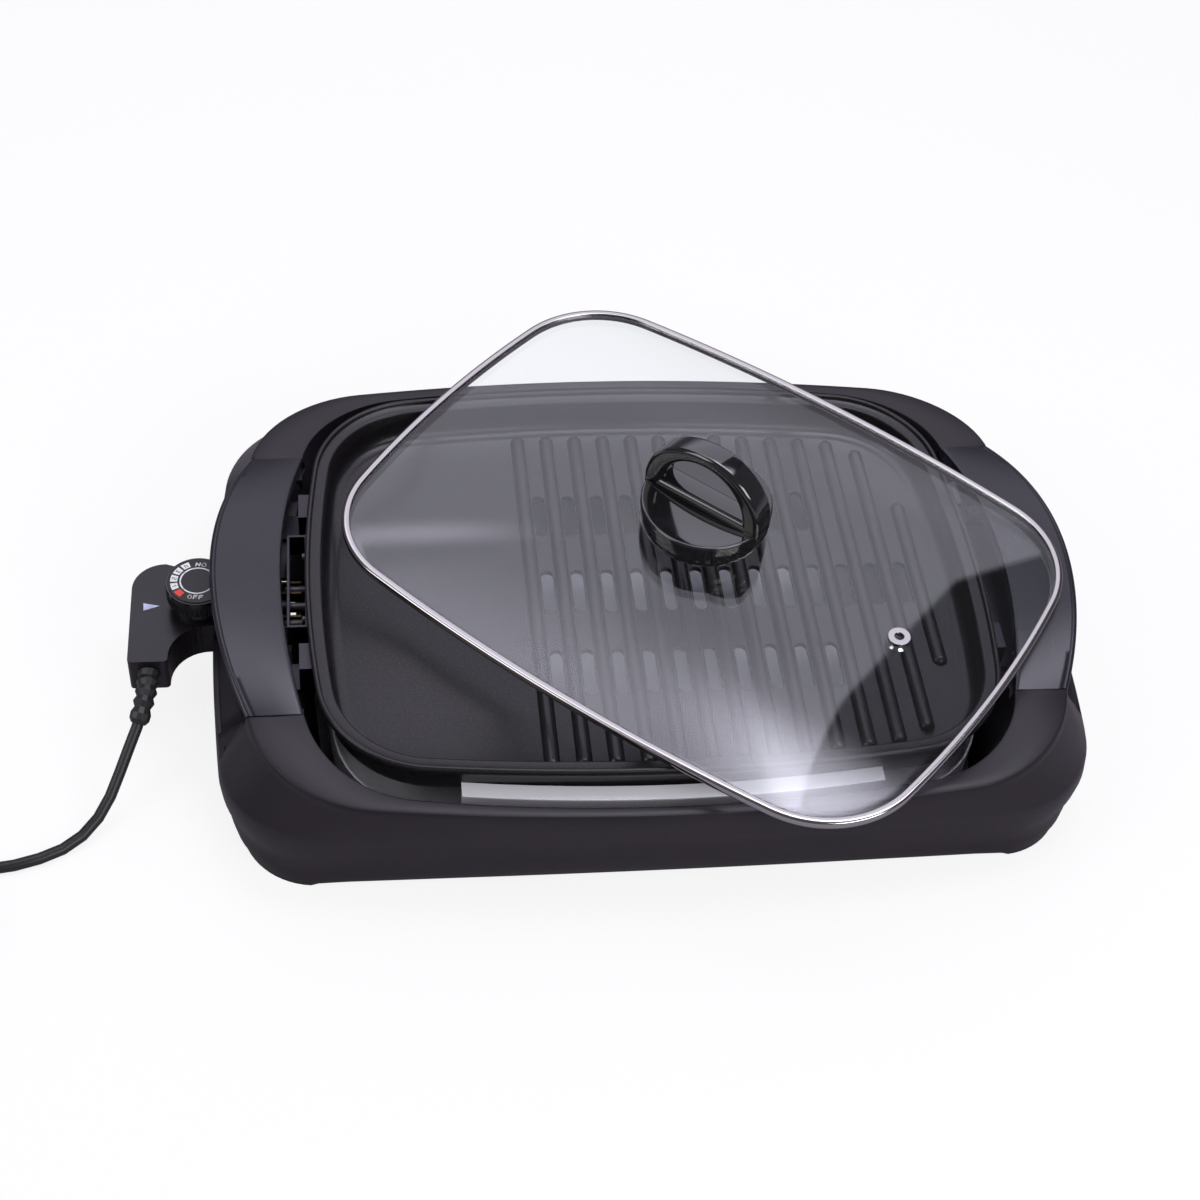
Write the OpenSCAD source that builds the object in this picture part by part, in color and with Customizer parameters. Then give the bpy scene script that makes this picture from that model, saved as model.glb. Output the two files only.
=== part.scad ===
// Countertop electric grill: a moulded base with two arched side handles, a lift-out drip tray,
// a ribbed grill plate with a heating element under it, a plug-in thermostat with its cord,
// and a loose glass lid that lies turned on top of the plate.
// Lengths are in millimetres and angles in degrees.

/* [Base] */
// How much longer the inner wall is than the plate
well_more_len = 19; // [18:0.5:22]
// How much wider the inner wall is than the plate
well_more_wid = 30.5; // [28:0.5:33]
// How much narrower the inner wall is at its floor, on each side
well_draft = 12; // [11:0.5:13]
// How much longer the body is than the inner wall, at its widest level
body_more_len = 97; // [94:1:102]
// How much wider the body is than the inner wall, at its widest level
body_more_wid = 10; // [8:1:14]
// How much shorter the body is at its lower edge
foot_less_len = 32; // [28:1:40]
// How much narrower the body is at its lower edge
foot_less_wid = 18; // [16:1:22]
// How much longer the rim's outer edge is than the inner wall
rim_more_len = 67; // [64:1:70]
// How much wider the rim's outer edge is than the inner wall
rim_more_wid = 15; // [12:1:18]
// Height of the rim where it meets the side handles
rim_z = 82; // [80:0.5:86]
// How far the rim drops towards the middle of the front and back
rim_dip = 6; // [0:0.5:8]
// How far the body drops under the side handles
scoop_depth = 22; // [18:0.5:26]
// Wall of the body moulding
body_wall = 3; // [2:0.1:4]
// Gap between the lower edge of the body and the table
foot_gap = 3.5; // [2:0.1:5]

/* [Side handles] */
// Half of the distance between a handle's two ends
wing_half = 105.5; // [100:0.5:110]
// Width of a handle at its ends
wing_end_wid = 34; // [30:0.5:36]
// How far a handle's outer edge bows out beyond its corners
wing_outer_bow = 22; // [20:0.5:24]
// Rise of a handle's outer edge at its middle
wing_rise = 17; // [12:0.5:20]
// Rise of a handle's inner edge at its middle
wing_inner_rise = 12; // [8:0.5:16]
// Bow of a handle's inner edge
wing_inner_bow = 13.4; // [10:0.1:14]
// Thickness of a handle
wing_t = 9; // [7:0.5:10]

/* [Grill plate] */
// Length of the plate over its lip
plate_len = 426; // [420:1:428]
// Width of the plate over its lip
plate_wid = 321.5; // [316:0.5:324]
// Corner radius of the lip
plate_r = 71; // [60:1:80]
// Height of the lip above the table
plate_z = 88.7; // [87:0.1:91]
// Height of the cooking surface above the table
floor_z = 64; // [63:0.5:66]
// Width of the raised bead round the lip
bead_w = 3; // [2:0.1:4]
// Width of the ledge that the lid fits
ledge_w = 7; // [5:0.5:8]
// Depth of that ledge below the bead
ledge_drop = 2.7; // [1:0.1:4]
// Thickness of the casting
cast_t = 3.5; // [3:0.1:4]
// Number of ribs
rib_count = 14; // [4:1:14]
// Distance from one rib to the next
rib_pitch = 19.22; // [18:0.02:19.4]
// Place of the first rib along the plate
rib_start = -70.5; // [-74:0.5:-66]
// Width of a rib
rib_w = 9.6; // [7:0.1:10.2]
// Height of a rib
rib_h = 4.2; // [2:0.1:5]
// Half length of the long ribs
rib_half = 139; // [130:0.5:141]
// Width of a drain slot
slot_w = 8; // [5:0.1:8.6]
// Length of a drain slot
slot_l = 36; // [20:0.5:40]
// Distance from one row of slots to the next
slot_row = 66; // [60:0.5:70]
// Height of the heating element and its pins
term_z = 55.5; // [54:0.1:55.6]
// Radius of the heating element's tube
tube_r = 4; // [3:0.1:4.2]
// Half of the distance between the two pins
pin_half = 14; // [12:0.5:16]
// Radius of a pin
pin_r = 3.2; // [2.5:0.1:3.4]

/* [Drip tray] */
// How much shorter the tray is than the inner wall
tray_less_len = 35; // [34:1:45]
// How much narrower the tray is than the inner wall
tray_less_wid = 26; // [25:1:40]
// Height of the tray's floor above the table
tray_z = 20; // [14:0.5:24]
// Height of the tray's wall above the table
tray_top = 48; // [40:0.5:49]
// Thickness of the sheet
tray_t = 1.2; // [0.8:0.1:2]
// Length of the front and back lifting lips
grip_len = 250; // [200:1:270]
// Height of the lifting lips above the table
grip_z = 68; // [60:0.5:72]
// Length of the recess for the probe
tray_recess = 72; // [70:1:90]

/* [Lid] */
// Distance that the lid's edge lies inside the plate's lip
lid_inset = 3; // [1:0.1:5]
// Turn of the lid on the plate
lid_turn = -41.5; // [-45:0.5:-35]
// Rise of the lid towards the right side handle, as an angle
lid_tilt_x = 1.85; // [1.8:0.05:2.2]
// Rise of the lid towards the back, as an angle
lid_tilt_y = 0.5; // [0.4:0.05:0.6]
// Place of the lid's middle along the grill
lid_x = 35; // [30:0.5:40]
// Place of the lid's middle across the grill
lid_y = 11; // [8:0.5:14]
// Height of the lid's rim at its middle
lid_z = 95.7; // [95.7:0.1:98]
// Height of the steel rim band
band_h = 6; // [5:0.1:7]
// Width of the steel rim band
band_w = 5; // [4:0.1:6]
// Thickness of the glass
glass_t = 4; // [3:0.1:4.2]
// Rise of the glass from its edge to its middle
dome_rise = 14.5; // [8:0.5:16]
// Distance from the lid's middle to the steam vent
vent_x = 142; // [120:1:150]
// Half length of the lid handle
grip_half = 42; // [41.5:0.5:46]
// Width of the lid handle's loop at its ends
loop_side = 12.5; // [9:0.5:14]
// Radius of the drum that carries the lid handle's loop
drum_r = 41; // [36:0.5:43]
// Height of that drum
drum_h = 20; // [14:0.5:26]
// Height of the lid handle above the glass
grip_h = 64; // [58:0.5:76]
// Width of the lid handle's loop
loop_w = 17; // [12:0.5:20]
// Thickness of the lid handle's loop
loop_t = 9; // [7:0.5:11]

/* [Controller] */
// How far the controller stands out beyond the left side handle
ctl_out = 50; // [46:1:60]
// Height of the controller's top
ctl_top = 62; // [61:0.5:64]
// Height of the controller's underside
ctl_low = 37; // [36:0.5:40]
// Half width of the controller's neck
neck_half = 18.5; // [18:0.5:19]
// Width of the arm that the cord comes out of
arm_w = 24; // [20:0.5:26]
// Reach of that arm towards the front
arm_y = 46; // [40:1:50]
// Wall of the controller housing
ctl_wall = 2.2; // [1.6:0.1:3]
// Distance from the controller's left end to the dial's axis
dial_in = 42; // [40:0.5:45]
// Radius of the dial
dial_r = 19.2; // [16:0.1:20]
// Height of the dial's top
dial_top = 83; // [80:0.5:85]
// Radius of the probe
probe_r = 3.2; // [2.5:0.1:3.6]
// Length of the probe beyond the controller
probe_l = 80; // [60:1:82]

/* [Cord] */
// Diameter of the cord
cord_d = 7; // [6:0.1:7.4]
// Number of turns in each layer of the coil
coil_turns = 2; // [1:1:3]
// Distance from one turn to the next
coil_pitch = 8.8; // [8.7:0.1:10]
// Radius at the middle of the coil's turns
coil_r = 38; // [36:0.5:42]
// Height that the tie under it lifts the coil
coil_lift = 0.8; // [0.7:0.1:1.2]

/* [Clearances] */
// Running gap between pieces that move on each other
run_gap = 0.4; // [0.3:0.05:0.6]
// Radial gap round a screw or a pin in its hole
pin_gap = 0.08; // [0.05:0.01:0.15]
// Gap between a contact fork and its pin
fork_gap = 0.3; // [0.2:0.05:0.5]

/* [Hidden] */
$fn = 48;
well_len = plate_len + well_more_len;
well_wid = plate_wid + well_more_wid;
body_len = well_len + body_more_len;
body_wid = well_wid + body_more_wid;
foot_len = body_len - foot_less_len;
foot_wid = body_wid - foot_less_wid;
rim_len = well_len + rim_more_len;
rim_wid = well_wid + rim_more_wid;
overall_len = body_len - 2;
wing_corner_x = overall_len / 2 - wing_outer_bow;
tray_len = well_len - tray_less_len;
tray_wid = well_wid - tray_less_wid;
ctl_reach = overall_len / 2 + ctl_out;
dial_x = ctl_reach - dial_in;
side_steps = 7;
corner_steps = 8;
charcoal = [0.17, 0.16, 0.18];
steel = [0.75, 0.75, 0.77];

// Radius of an arc from half of its chord and its rise
function bow_radius(half, rise) = (half * half + rise * rise) / (2 * rise);
function smooth(t) = t <= 0 ? 0 : t >= 1 ? 1 : t * t * (3 - 2 * t);
function polar(r, angle) = [r * cos(angle), r * sin(angle)];

// A quarter of a rectangle with bowed sides and round corners, from the X axis to the Y axis
function quarter(a, b, r, rise) =
    let (long_r = bow_radius(a - r, rise), short_r = bow_radius(b - r, rise * b / a),
        from_long = [0, b - long_r], from_short = [a - short_r, 0],
        span = norm(from_short - from_long), way = (from_short - from_long) / span,
        along = ((long_r - r) ^ 2 - (short_r - r) ^ 2 + span ^ 2) / (2 * span),
        aside = sqrt((long_r - r) ^ 2 - along ^ 2),
        one = from_long + along * way + aside * [-way.y, way.x],
        two = from_long + along * way - aside * [-way.y, way.x],
        mid = one.x + one.y > two.x + two.y ? one : two,
        low = atan2(mid.y, mid.x - from_short.x),
        high = atan2(mid.y - from_long.y, mid.x))
    concat(
        [for (i = [0 : side_steps - 1]) from_short + polar(short_r, low * i / side_steps)],
        [for (i = [0 : corner_steps - 1]) mid + polar(r, low + (high - low) * i / corner_steps)],
        [for (i = [0 : side_steps]) from_long + polar(long_r, high + (90 - high) * i / side_steps)]);

// The whole outline, anticlockwise
function outline(len, wid, r, rise) =
    let (q = quarter(len / 2, wid / 2, r, rise), n = len(q) - 1)
    concat(
        [for (i = [0 : n - 1]) q[i]],
        [for (i = [n : -1 : 1]) [-q[i].x, q[i].y]],
        [for (i = [0 : n - 1]) -q[i]],
        [for (i = [n : -1 : 1]) [q[i].x, -q[i].y]]);
function at_z(points, z) = [for (p = points) [p.x, p.y, z]];

// A closed skin through rings of equal length, joined from the last ring to the first
module ring_skin(rings) {
    m = len(rings);
    n = len(rings[0]);
    polyhedron(
        points = [for (ring = rings) for (p = ring) p],
        faces = [for (i = [0 : m - 1]) for (j = [0 : n - 1]) for (half = [0, 1])
            let (k = (i + 1) % m, l = (j + 1) % n)
            half == 0 ? [i * n + j, k * n + j, k * n + l] : [i * n + j, k * n + l, i * n + l]],
        convexity = 8);
}
// A solid through rings, closed at both ends with a fan about each ring's middle
module lofted(rings) {
    m = len(rings);
    n = len(rings[0]);
    first = ring_mid(rings[0]);
    last = ring_mid(rings[m - 1]);
    polyhedron(
        points = concat([for (ring = rings) for (p = ring) p], [first, last]),
        faces = concat(
            [for (i = [0 : m - 2]) for (j = [0 : n - 1]) for (half = [0, 1])
                let (l = (j + 1) % n)
                half == 0 ? [i * n + j, (i + 1) * n + j, (i + 1) * n + l]
                    : [i * n + j, (i + 1) * n + l, i * n + l]],
            [for (j = [0 : n - 1]) [m * n, j, (j + 1) % n]],
            [for (j = [0 : n - 1]) [m * n + 1, (m - 1) * n + (j + 1) % n, (m - 1) * n + j]]),
        convexity = 6);
}
function ring_mid(ring, i = 0, sum = [0, 0, 0]) =
    i == len(ring) ? sum / i : ring_mid(ring, i + 1, sum + ring[i]);

// Rings of a tube that follows a path, with one radius at each point
function unit(v) = v / norm(v);
function heading(path, i) = unit(path[min(i + 1, len(path) - 1)] - path[max(i - 1, 0)]);
function tube_rings(path, radii, sides) =
    [for (i = [0 : len(path) - 1])
        let (ahead = heading(path, i), level = unit(cross(ahead, [0, 0, 1])), up = cross(level, ahead))
        [for (k = [0 : sides - 1])
            let (angle = 360 * k / sides)
            path[i] + radii[i] * (up * cos(angle) + level * sin(angle))]];

// Outlines of the body, the plate and the lid
function plate_outline(inset) =
    outline(plate_len - 2 * inset, plate_wid - 2 * inset, plate_r - inset, 7.6);
function rim_height(y) =
    abs(y) < wing_half
        ? rim_z - scoop_depth * smooth((wing_half - abs(y)) / 20)
        : rim_z - rim_dip * smooth((abs(y) - wing_half) / (rim_wid / 2 - wing_half));
function foot_height(p) =
    foot_gap - (foot_gap - 0.6) * smooth((abs(p.x) - pad_x + 26) / 8) * smooth((abs(p.y) - pad_y + 2) / 8);
function rim_ring(inset, drop) =
    [for (p = outline(rim_len - 2 * inset, rim_wid - 2 * inset, 83 - inset, 10.5))
        [p.x, p.y, rim_height(p.y) - drop]];
function well_ring(inset, drop) =
    [for (p = outline(well_len - 2 * inset, well_wid - 2 * inset, well_r - inset, well_bow))
        [p.x, p.y, rim_height(p.y) - drop]];
well_floor = 6.5;
foot_r = 46;
body_r = 62;
well_r = 74;
well_bow = 10.5;
post_x = 120;
post_y = 90;
pad_x = foot_len / 2 - 23;
pad_y = foot_wid / 2 - 48;

// Place of the grill's middle, which puts the middle of the whole object over the origin
grill_x = (ctl_reach - overall_len / 2) / 2;
grill_y = -lid_y;
module placed() translate([grill_x, grill_y, 0]) children();
module both_ways() for (side = [-1, 1]) scale_x(side) children();
module scale_x(side) if (side > 0) children(); else mirror([1, 0, 0]) children();
module four_ways() for (sx = [0, 1]) for (sy = [0, 1]) mirror([sx, 0, 0]) mirror([0, sy, 0]) children();

// Seats and screws of the side handles
seat_w = 11;
seat_x = wing_corner_x - wing_end_wid / 2;
screw_r = 2;
screw_y = wing_half - seat_w / 2;
seat_z = rim_z - wing_t;
screw_hole_r = screw_r + pin_gap;
screw_head_z = seat_z - 9;

// The plate's brackets
bracket_y = 62;
bracket_w = 20;
bracket_l = 9.5;
bracket_in = plate_len / 2 - bead_w - ledge_w + cast_t + 0.8;
shelf_z = rim_z - scoop_depth;
bracket_hole_x = well_len / 2 + 9;
lip_low = plate_z - ledge_drop - cast_t;

// The shell in one skin: well floor, well wall, underside, outer wall, rim and inner wall
module shell() lofted([
    at_z(outline(well_len + 2 * body_wall - 2 * well_draft, well_wid + 2 * body_wall - 2 * well_draft,
        well_r + body_wall - well_draft, well_bow), well_floor - body_wall),
    well_ring(-body_wall, body_wall), rim_ring(body_wall + 1, body_wall),
    at_z(outline(body_len - 2 - 2 * body_wall, body_wid + 3 - 2 * body_wall, body_r, 9), 53),
    at_z(outline(body_len - 2 * body_wall, body_wid - 2 * body_wall, body_r - body_wall, 8), 40),
    at_z(outline(foot_len - 2 * body_wall, foot_wid - 2 * body_wall, foot_r - body_wall, 1.5), foot_gap),
    [for (p = outline(foot_len, foot_wid, foot_r, 1.5)) [p.x, p.y, foot_height(p)]],
    at_z(outline(foot_len + 12, foot_wid + 7, foot_r + 6, 4), 9),
    at_z(outline(body_len - 8, body_wid - 4, body_r, 7), 22),
    at_z(outline(body_len, body_wid, body_r, 8), 40),
    at_z(outline(body_len - 2, body_wid + 3, body_r + 6, 9), 54),
    rim_ring(0, 1.2), rim_ring(1.2, 0), well_ring(-1, 0), well_ring(0, 1),
    at_z(outline(well_len - 2 * well_draft, well_wid - 2 * well_draft, well_r - well_draft, well_bow), well_floor)]);
module base_housing() placed() color(charcoal) difference() {
    union() {
        shell();
        // posts for the tray
        four_ways() translate([post_x, post_y, well_floor - 1]) cylinder(r = 9, h = tray_z - well_floor + 1);
        // seats of the side handles
        four_ways() translate([wing_corner_x - wing_end_wid + 0.5, wing_half - seat_w, shelf_z - 4])
            cube([wing_end_wid - 4, seat_w + 3, seat_z - shelf_z + 9]);
        // bosses of the plate's brackets
        four_ways() translate([bracket_hole_x, bracket_y, shelf_z - 14]) cylinder(r = 5, h = 13);
        // bars over the rubber feet
        four_ways() translate([well_len / 2 - 20, pad_y - 6, foot_gap + 0.5])
            cube([foot_len / 2 - 2 - well_len / 2 + 20, 12, 5]);
    }
    // steps that the handles' ends lie in
    both_ways() translate([wing_corner_x - 90, -wing_half - 0.15, seat_z])
        cube([200, 2 * wing_half + 0.3, 60]);
    // way in for the controller
    translate([-overall_len / 2 - 30, -neck_half - 2.5, ctl_low - 3]) cube([90, 2 * neck_half + 5, 60]);
    four_ways() translate([seat_x, screw_y, 30]) cylinder(r = screw_hole_r, h = 60);
    four_ways() translate([seat_x, screw_y, 30]) cylinder(r = 4.2, h = screw_head_z - 30);
    four_ways() translate([bracket_hole_x, bracket_y, shelf_z - 12]) cylinder(r = screw_hole_r, h = 30);
}

// One side handle: an arch that is lower at its ends, wider at its middle
function arc_x(end_x, rise, y) =
    let (r = bow_radius(wing_half, rise)) end_x + rise - r + sqrt(r * r - y * y);
function wing_section(y) =
    let (crown = 1 - (y / wing_half) ^ 2,
        out_x = arc_x(wing_corner_x, overall_len / 2 - wing_corner_x, y),
        in_x = arc_x(wing_corner_x - wing_end_wid, wing_inner_bow, y),
        out_z = rim_z + wing_rise * crown, in_z = rim_z + wing_inner_rise * crown)
    [[out_x, y, out_z - 1.5], [out_x - 1.5, y, out_z], [in_x + 1.5, y, in_z],
        [in_x, y, in_z - 1.5], [in_x, y, in_z - wing_t], [out_x - 3, y, out_z - wing_t]];
module side_handle() difference() {
    union() {
        lofted([for (i = [12 : -1 : -12]) wing_section(wing_half * i / 12)]);
        for (side = [-1, 1]) translate([seat_x - 11, side * (wing_half - seat_w / 2) - seat_w / 2, seat_z])
            cube([22, seat_w, 6]);
    }
    for (side = [-1, 1]) translate([seat_x, side * screw_y, seat_z - 1])
        cylinder(r = screw_hole_r, h = 7.5);
}
module left_handle() placed() color([0.2, 0.2, 0.24]) mirror([1, 0, 0]) side_handle();
module right_handle() placed() color([0.2, 0.2, 0.24]) side_handle();
module screw(length, head_r, head_h) {
    cylinder(r = screw_r, h = length);
    translate([0, 0, -head_h]) difference() {
        cylinder(r = head_r, h = head_h);
        for (turn = [0, 90]) rotate(turn) translate([-head_r / 2, -0.4, -1]) cube([head_r, 0.8, 1.8]);
    }
}
module handle_screws() placed() color(steel)
    four_ways() translate([seat_x, screw_y, screw_head_z]) screw(15, 3.8, 2.4);

module plate_brackets() placed() color([0.55, 0.55, 0.58]) four_ways() difference() {
    union() {
        translate([bracket_in, bracket_y - bracket_w / 2, shelf_z + 2])
            cube([bracket_l, bracket_w, lip_low - shelf_z - 2]);
        translate([bracket_in, bracket_y - bracket_w / 2, shelf_z + 0.1])
            cube([bracket_hole_x + 9 - bracket_in, bracket_w, 3]);
    }
    translate([bracket_in - 1, bracket_y - bracket_w, shelf_z + 12])
        cube([7, bracket_w * 0.7, 9]);
    translate([bracket_hole_x, bracket_y, shelf_z - 1]) cylinder(r = screw_hole_r, h = 8);
}
module bracket_screws() placed() color(steel)
    four_ways() translate([bracket_hole_x, bracket_y, shelf_z + 3.1]) mirror([0, 0, 1])
        screw(13, 3.8, 2);
module rubber_feet() placed() color([0.1, 0.1, 0.1])
    four_ways() translate([pad_x, pad_y, 0]) cylinder(r1 = 9, r2 = 10, h = foot_gap + 0.5);

// The drip tray: a shallow sheet tray with a recess for the probe
tray_r = 62;
tray_bow = 10;
lip_w = 10;
module tray_area(inset) difference() {
    polygon(outline(tray_len - 2 * inset, tray_wid - 2 * inset, tray_r - inset, tray_bow));
    translate([-tray_len, -neck_half - 12 - inset])
        square([tray_len / 2 + tray_recess + inset, 2 * (neck_half + 12 + inset)]);
}
module tray_band(out, in) intersection() {
    difference() {
        tray_area(out);
        tray_area(in);
    }
    square([grip_len, 2 * tray_wid], center = true);
}
module drip_tray() placed() color([0.72, 0.74, 0.78]) {
    difference() {
        translate([0, 0, tray_z]) linear_extrude(tray_top - tray_z) tray_area(0);
        translate([0, 0, tray_z + tray_t]) linear_extrude(tray_top) tray_area(tray_t);
    }
    translate([0, 0, tray_top - 1]) linear_extrude(grip_z - tray_top + 1) tray_band(0, tray_t);
    translate([0, 0, grip_z - tray_t]) linear_extrude(tray_t) tray_band(7 - lip_w, 7);
}

// The grill plate
function rib_x(i) = rib_start + rib_pitch * i;
// How much shorter each rib is at both ends
rib_cuts = [0, 0, 0, 0, 0, 0, 0, 0.5, 2.5, 4, 5.5, 8.5, 18, 69];
function rib_end(i) = rib_half - rib_cuts[i];
inner_inset = bead_w + ledge_w;
module stadium(w, l) polygon([for (i = [0 : 19])
    let (angle = i < 10 ? i * 20 : (i - 1) * 20)
    [w / 2 * cos(angle), w / 2 * sin(angle) + (i < 10 ? 1 : -1) * (l - w) / 2]]);
function rib_half_w(z) = sqrt((rib_w / 2) ^ 2 - max(z - rib_h + rib_w / 2, 0) ^ 2);
function rib_ring(half, z) =
    let (r = rib_half_w(z), straight = half - rib_w / 2)
    concat([for (i = [0 : 7]) [r * cos(i * 180 / 7), straight + r * sin(i * 180 / 7), z]],
        [for (i = [0 : 7]) [-r * cos(i * 180 / 7), -straight - r * sin(i * 180 / 7), z]]);
module rib(half) lofted([for (z = [-0.8, rib_h * 0.3, rib_h * 0.62, rib_h * 0.86, rib_h - 0.15])
    rib_ring(half, z)]);
module plate_slots() {
    for (row = [-1, 0, 1]) {
        count = row == 0 ? rib_count - 1 : rib_count - 4;
        for (i = [0 : count - 1]) translate([rib_x(i) + rib_pitch / 2, row * slot_row]) stadium(slot_w, slot_l);
    }
}
// Shallow drain channel along the middle row of slots
channel_d = 0.4;
channel_w = slot_l + 12;
module plate_body() difference() {
    union() {
        translate([0, 0, floor_z - cast_t]) linear_extrude(lip_low + 1 - floor_z + cast_t)
            polygon(plate_outline(inner_inset - cast_t));
        translate([0, 0, lip_low]) linear_extrude(plate_z - lip_low) polygon(plate_outline(0));
    }
    translate([0, 0, floor_z]) linear_extrude(60) polygon(plate_outline(inner_inset));
    translate([0, 0, floor_z - channel_d]) linear_extrude(60) intersection() {
        polygon(plate_outline(inner_inset));
        square([plate_len, channel_w], center = true);
    }
    translate([0, 0, plate_z - ledge_drop]) linear_extrude(60) polygon(plate_outline(bead_w));
}
module grill_plate() placed() color([0.24, 0.23, 0.24]) difference() {
    union() {
        plate_body();
        for (i = [0 : rib_count - 1]) translate([rib_x(i), 0, floor_z]) rib(rib_end(i));
    }
    translate([0, 0, floor_z - 2 * cast_t]) linear_extrude(4 * cast_t) plate_slots();
    for (side = [-1, 1]) translate([-plate_len / 2, side * guard_screw_y, guard_screw_z])
        rotate([0, 90, 0]) cylinder(r = guard_screw_r + pin_gap, h = 20);
}

// The heating element: one tube under the plate, bent in a loop between the rows of slots
lead_x = 53 - plate_len / 2;
turn_r = 15;
far_x = plate_len / 2 - 48;
outer_y = 105;
inner_y = slot_row / 2 + 1;
bend_r = (outer_y - inner_y) / 2;
tube_end = 13 - plate_len / 2;
module bar(from, to) translate([from.x, from.y, 0]) rotate(atan2(to.y - from.y, to.x - from.x))
    rotate([0, 90, 0]) cylinder(r = tube_r, h = norm(to - from), $fn = 24);
module bend(mid, r, start, sweep) translate([mid.x, mid.y, 0]) rotate(start)
    rotate_extrude(angle = sweep, $fn = 48) translate([r, 0]) circle(r = tube_r, $fn = 24);
module element_half() {
    bar([tube_end, pin_half], [lead_x - turn_r, pin_half]);
    bend([lead_x - turn_r, pin_half + turn_r], turn_r, -90, 90);
    bar([lead_x, pin_half + turn_r], [lead_x, outer_y - turn_r]);
    bend([lead_x + turn_r, outer_y - turn_r], turn_r, 90, 90);
    bar([lead_x + turn_r, outer_y], [far_x, outer_y]);
    bend([far_x, inner_y + bend_r], bend_r, -90, 180);
    bar([-100, inner_y], [far_x, inner_y]);
    bend([-100, 0], inner_y, 90, 90);
}
module heating_element() placed() color([0.4, 0.36, 0.34]) translate([0, 0, term_z]) {
    element_half();
    mirror([0, 1, 0]) element_half();
}
insulator_l = 6;
pin_out = 26;
module terminal_insulators() placed() color([0.92, 0.9, 0.86])
    for (side = [-1, 1]) translate([tube_end - insulator_l, side * pin_half, term_z]) rotate([0, 90, 0])
        difference() {
            cylinder(r = tube_r + 0.3, h = insulator_l);
            translate([0, 0, -1]) cylinder(r = pin_r + pin_gap, h = insulator_l + 2);
        }
module terminal_pins() placed() color(steel)
    for (side = [-1, 1]) translate([tube_end - pin_out, side * pin_half, term_z]) rotate([0, 90, 0]) {
        cylinder(r = pin_r, h = pin_out);
        translate([0, 0, -1]) cylinder(r1 = pin_r - 1, r2 = pin_r, h = 1);
    }

// The sheet guard round the pins, open below and where the controller comes in
guard_half = 38;
guard_t = 1.6;
guard_out = plate_len / 2 + 11;
guard_in = plate_len / 2;
guard_top = lip_low - 1.4;
guard_low = ctl_top + 2.5;
guard_screw_y = 26;
guard_screw_z = 73;
guard_screw_r = 1.6;
wall_out = plate_len / 2 - inner_inset + cast_t;
module terminal_guard() placed() color([0.7, 0.7, 0.74]) {
    difference() {
        translate([-guard_out, -guard_half, guard_low]) cube([guard_out - guard_in + guard_t, 2 * guard_half, guard_top - guard_low]);
        translate([-guard_out + guard_t, -guard_half + guard_t, guard_low - 1])
            cube([guard_out - guard_in - guard_t, 2 * guard_half - 2 * guard_t, 60]);
        for (side = [-1, 1]) translate([-guard_out - 1, side * guard_screw_y, guard_screw_z])
            rotate([0, 90, 0]) cylinder(r = guard_screw_r + pin_gap, h = 30);
        for (side = [-1, 1]) translate([-guard_out - 1, side * guard_screw_y, guard_screw_z])
            rotate([0, 90, 0]) cylinder(r = 3.4, h = guard_t + 2);
    }
    // spacers against the plate's wall
    for (side = [-1, 1]) translate([-guard_in + guard_t - 0.1, side * guard_screw_y, guard_screw_z])
        rotate([0, 90, 0]) difference() {
            cylinder(r = 4, h = guard_in - guard_t - wall_out - 0.1);
            translate([0, 0, -1]) cylinder(r = guard_screw_r + pin_gap, h = 20);
        }
}
module guard_screws() placed() color(steel)
    for (side = [-1, 1]) translate([-guard_in - 2, side * guard_screw_y, guard_screw_z]) rotate([0, 90, 0]) {
        cylinder(r = guard_screw_r, h = guard_in + 2 - wall_out + cast_t - 0.8);
        cylinder(r = 3, h = 2);
    }
saddle_x = 23 - plate_len / 2;
saddle_l = 46;
module probe_saddle() placed() color([0.24, 0.23, 0.24])
    for (side = [-1, 1]) translate([saddle_x, side * (probe_r + run_gap + 1.25) - 1.25, term_z - 4])
        cube([saddle_l, 2.5, floor_z - cast_t - term_z + 4]);

// The controller, which slides out to the left
ctl_split = (ctl_top + ctl_low) / 2;
snout_x = -guard_out - 4;
arm_x = -ctl_reach + arm_w;
fillet_r = 23.5;
bulge_r = 20;
corner_r = 2.5;
module ctl_area() polygon(concat(
    [for (a = [180 : 30 : 270]) [-ctl_reach + corner_r, -arm_y + corner_r] + polar(corner_r, a)],
    [for (a = [270 : 30 : 360]) [arm_x - corner_r, -arm_y + corner_r] + polar(corner_r, a)],
    [for (a = [180 : -9 : 90]) [arm_x + fillet_r, -neck_half - fillet_r] + polar(fillet_r, a)],
    [[snout_x, -neck_half], [snout_x, neck_half], [-dial_x + 8, neck_half],
        [-dial_x + 1, neck_half + 4.5], [-dial_x - 8, neck_half + 10]],
    [for (a = [90 : 9 : 180]) [-ctl_reach + bulge_r, neck_half + 15 - bulge_r] + polar(bulge_r, a)]));
module ctl_hollow() {
    translate([-ctl_reach + ctl_wall, -arm_y + ctl_wall]) square([arm_w - 2 * ctl_wall, 60]);
    translate([-ctl_reach + 8, -neck_half + ctl_wall])
        square([ctl_reach - 8 + snout_x - ctl_wall, 2 * neck_half - 2 * ctl_wall]);
}
ctl_boss_r = 3.4;
ctl_screw_at = [[-ctl_reach + bulge_r - 3, neck_half + 7.5],
    [-ctl_reach + ctl_wall + ctl_boss_r - 0.6, -arm_y + ctl_wall + ctl_boss_r - 0.6],
    [snout_x - ctl_wall - ctl_boss_r + 0.6, neck_half - ctl_wall - ctl_boss_r + 0.6],
    [snout_x - ctl_wall - ctl_boss_r + 0.6, -neck_half + ctl_wall + ctl_boss_r - 0.6]];
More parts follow.
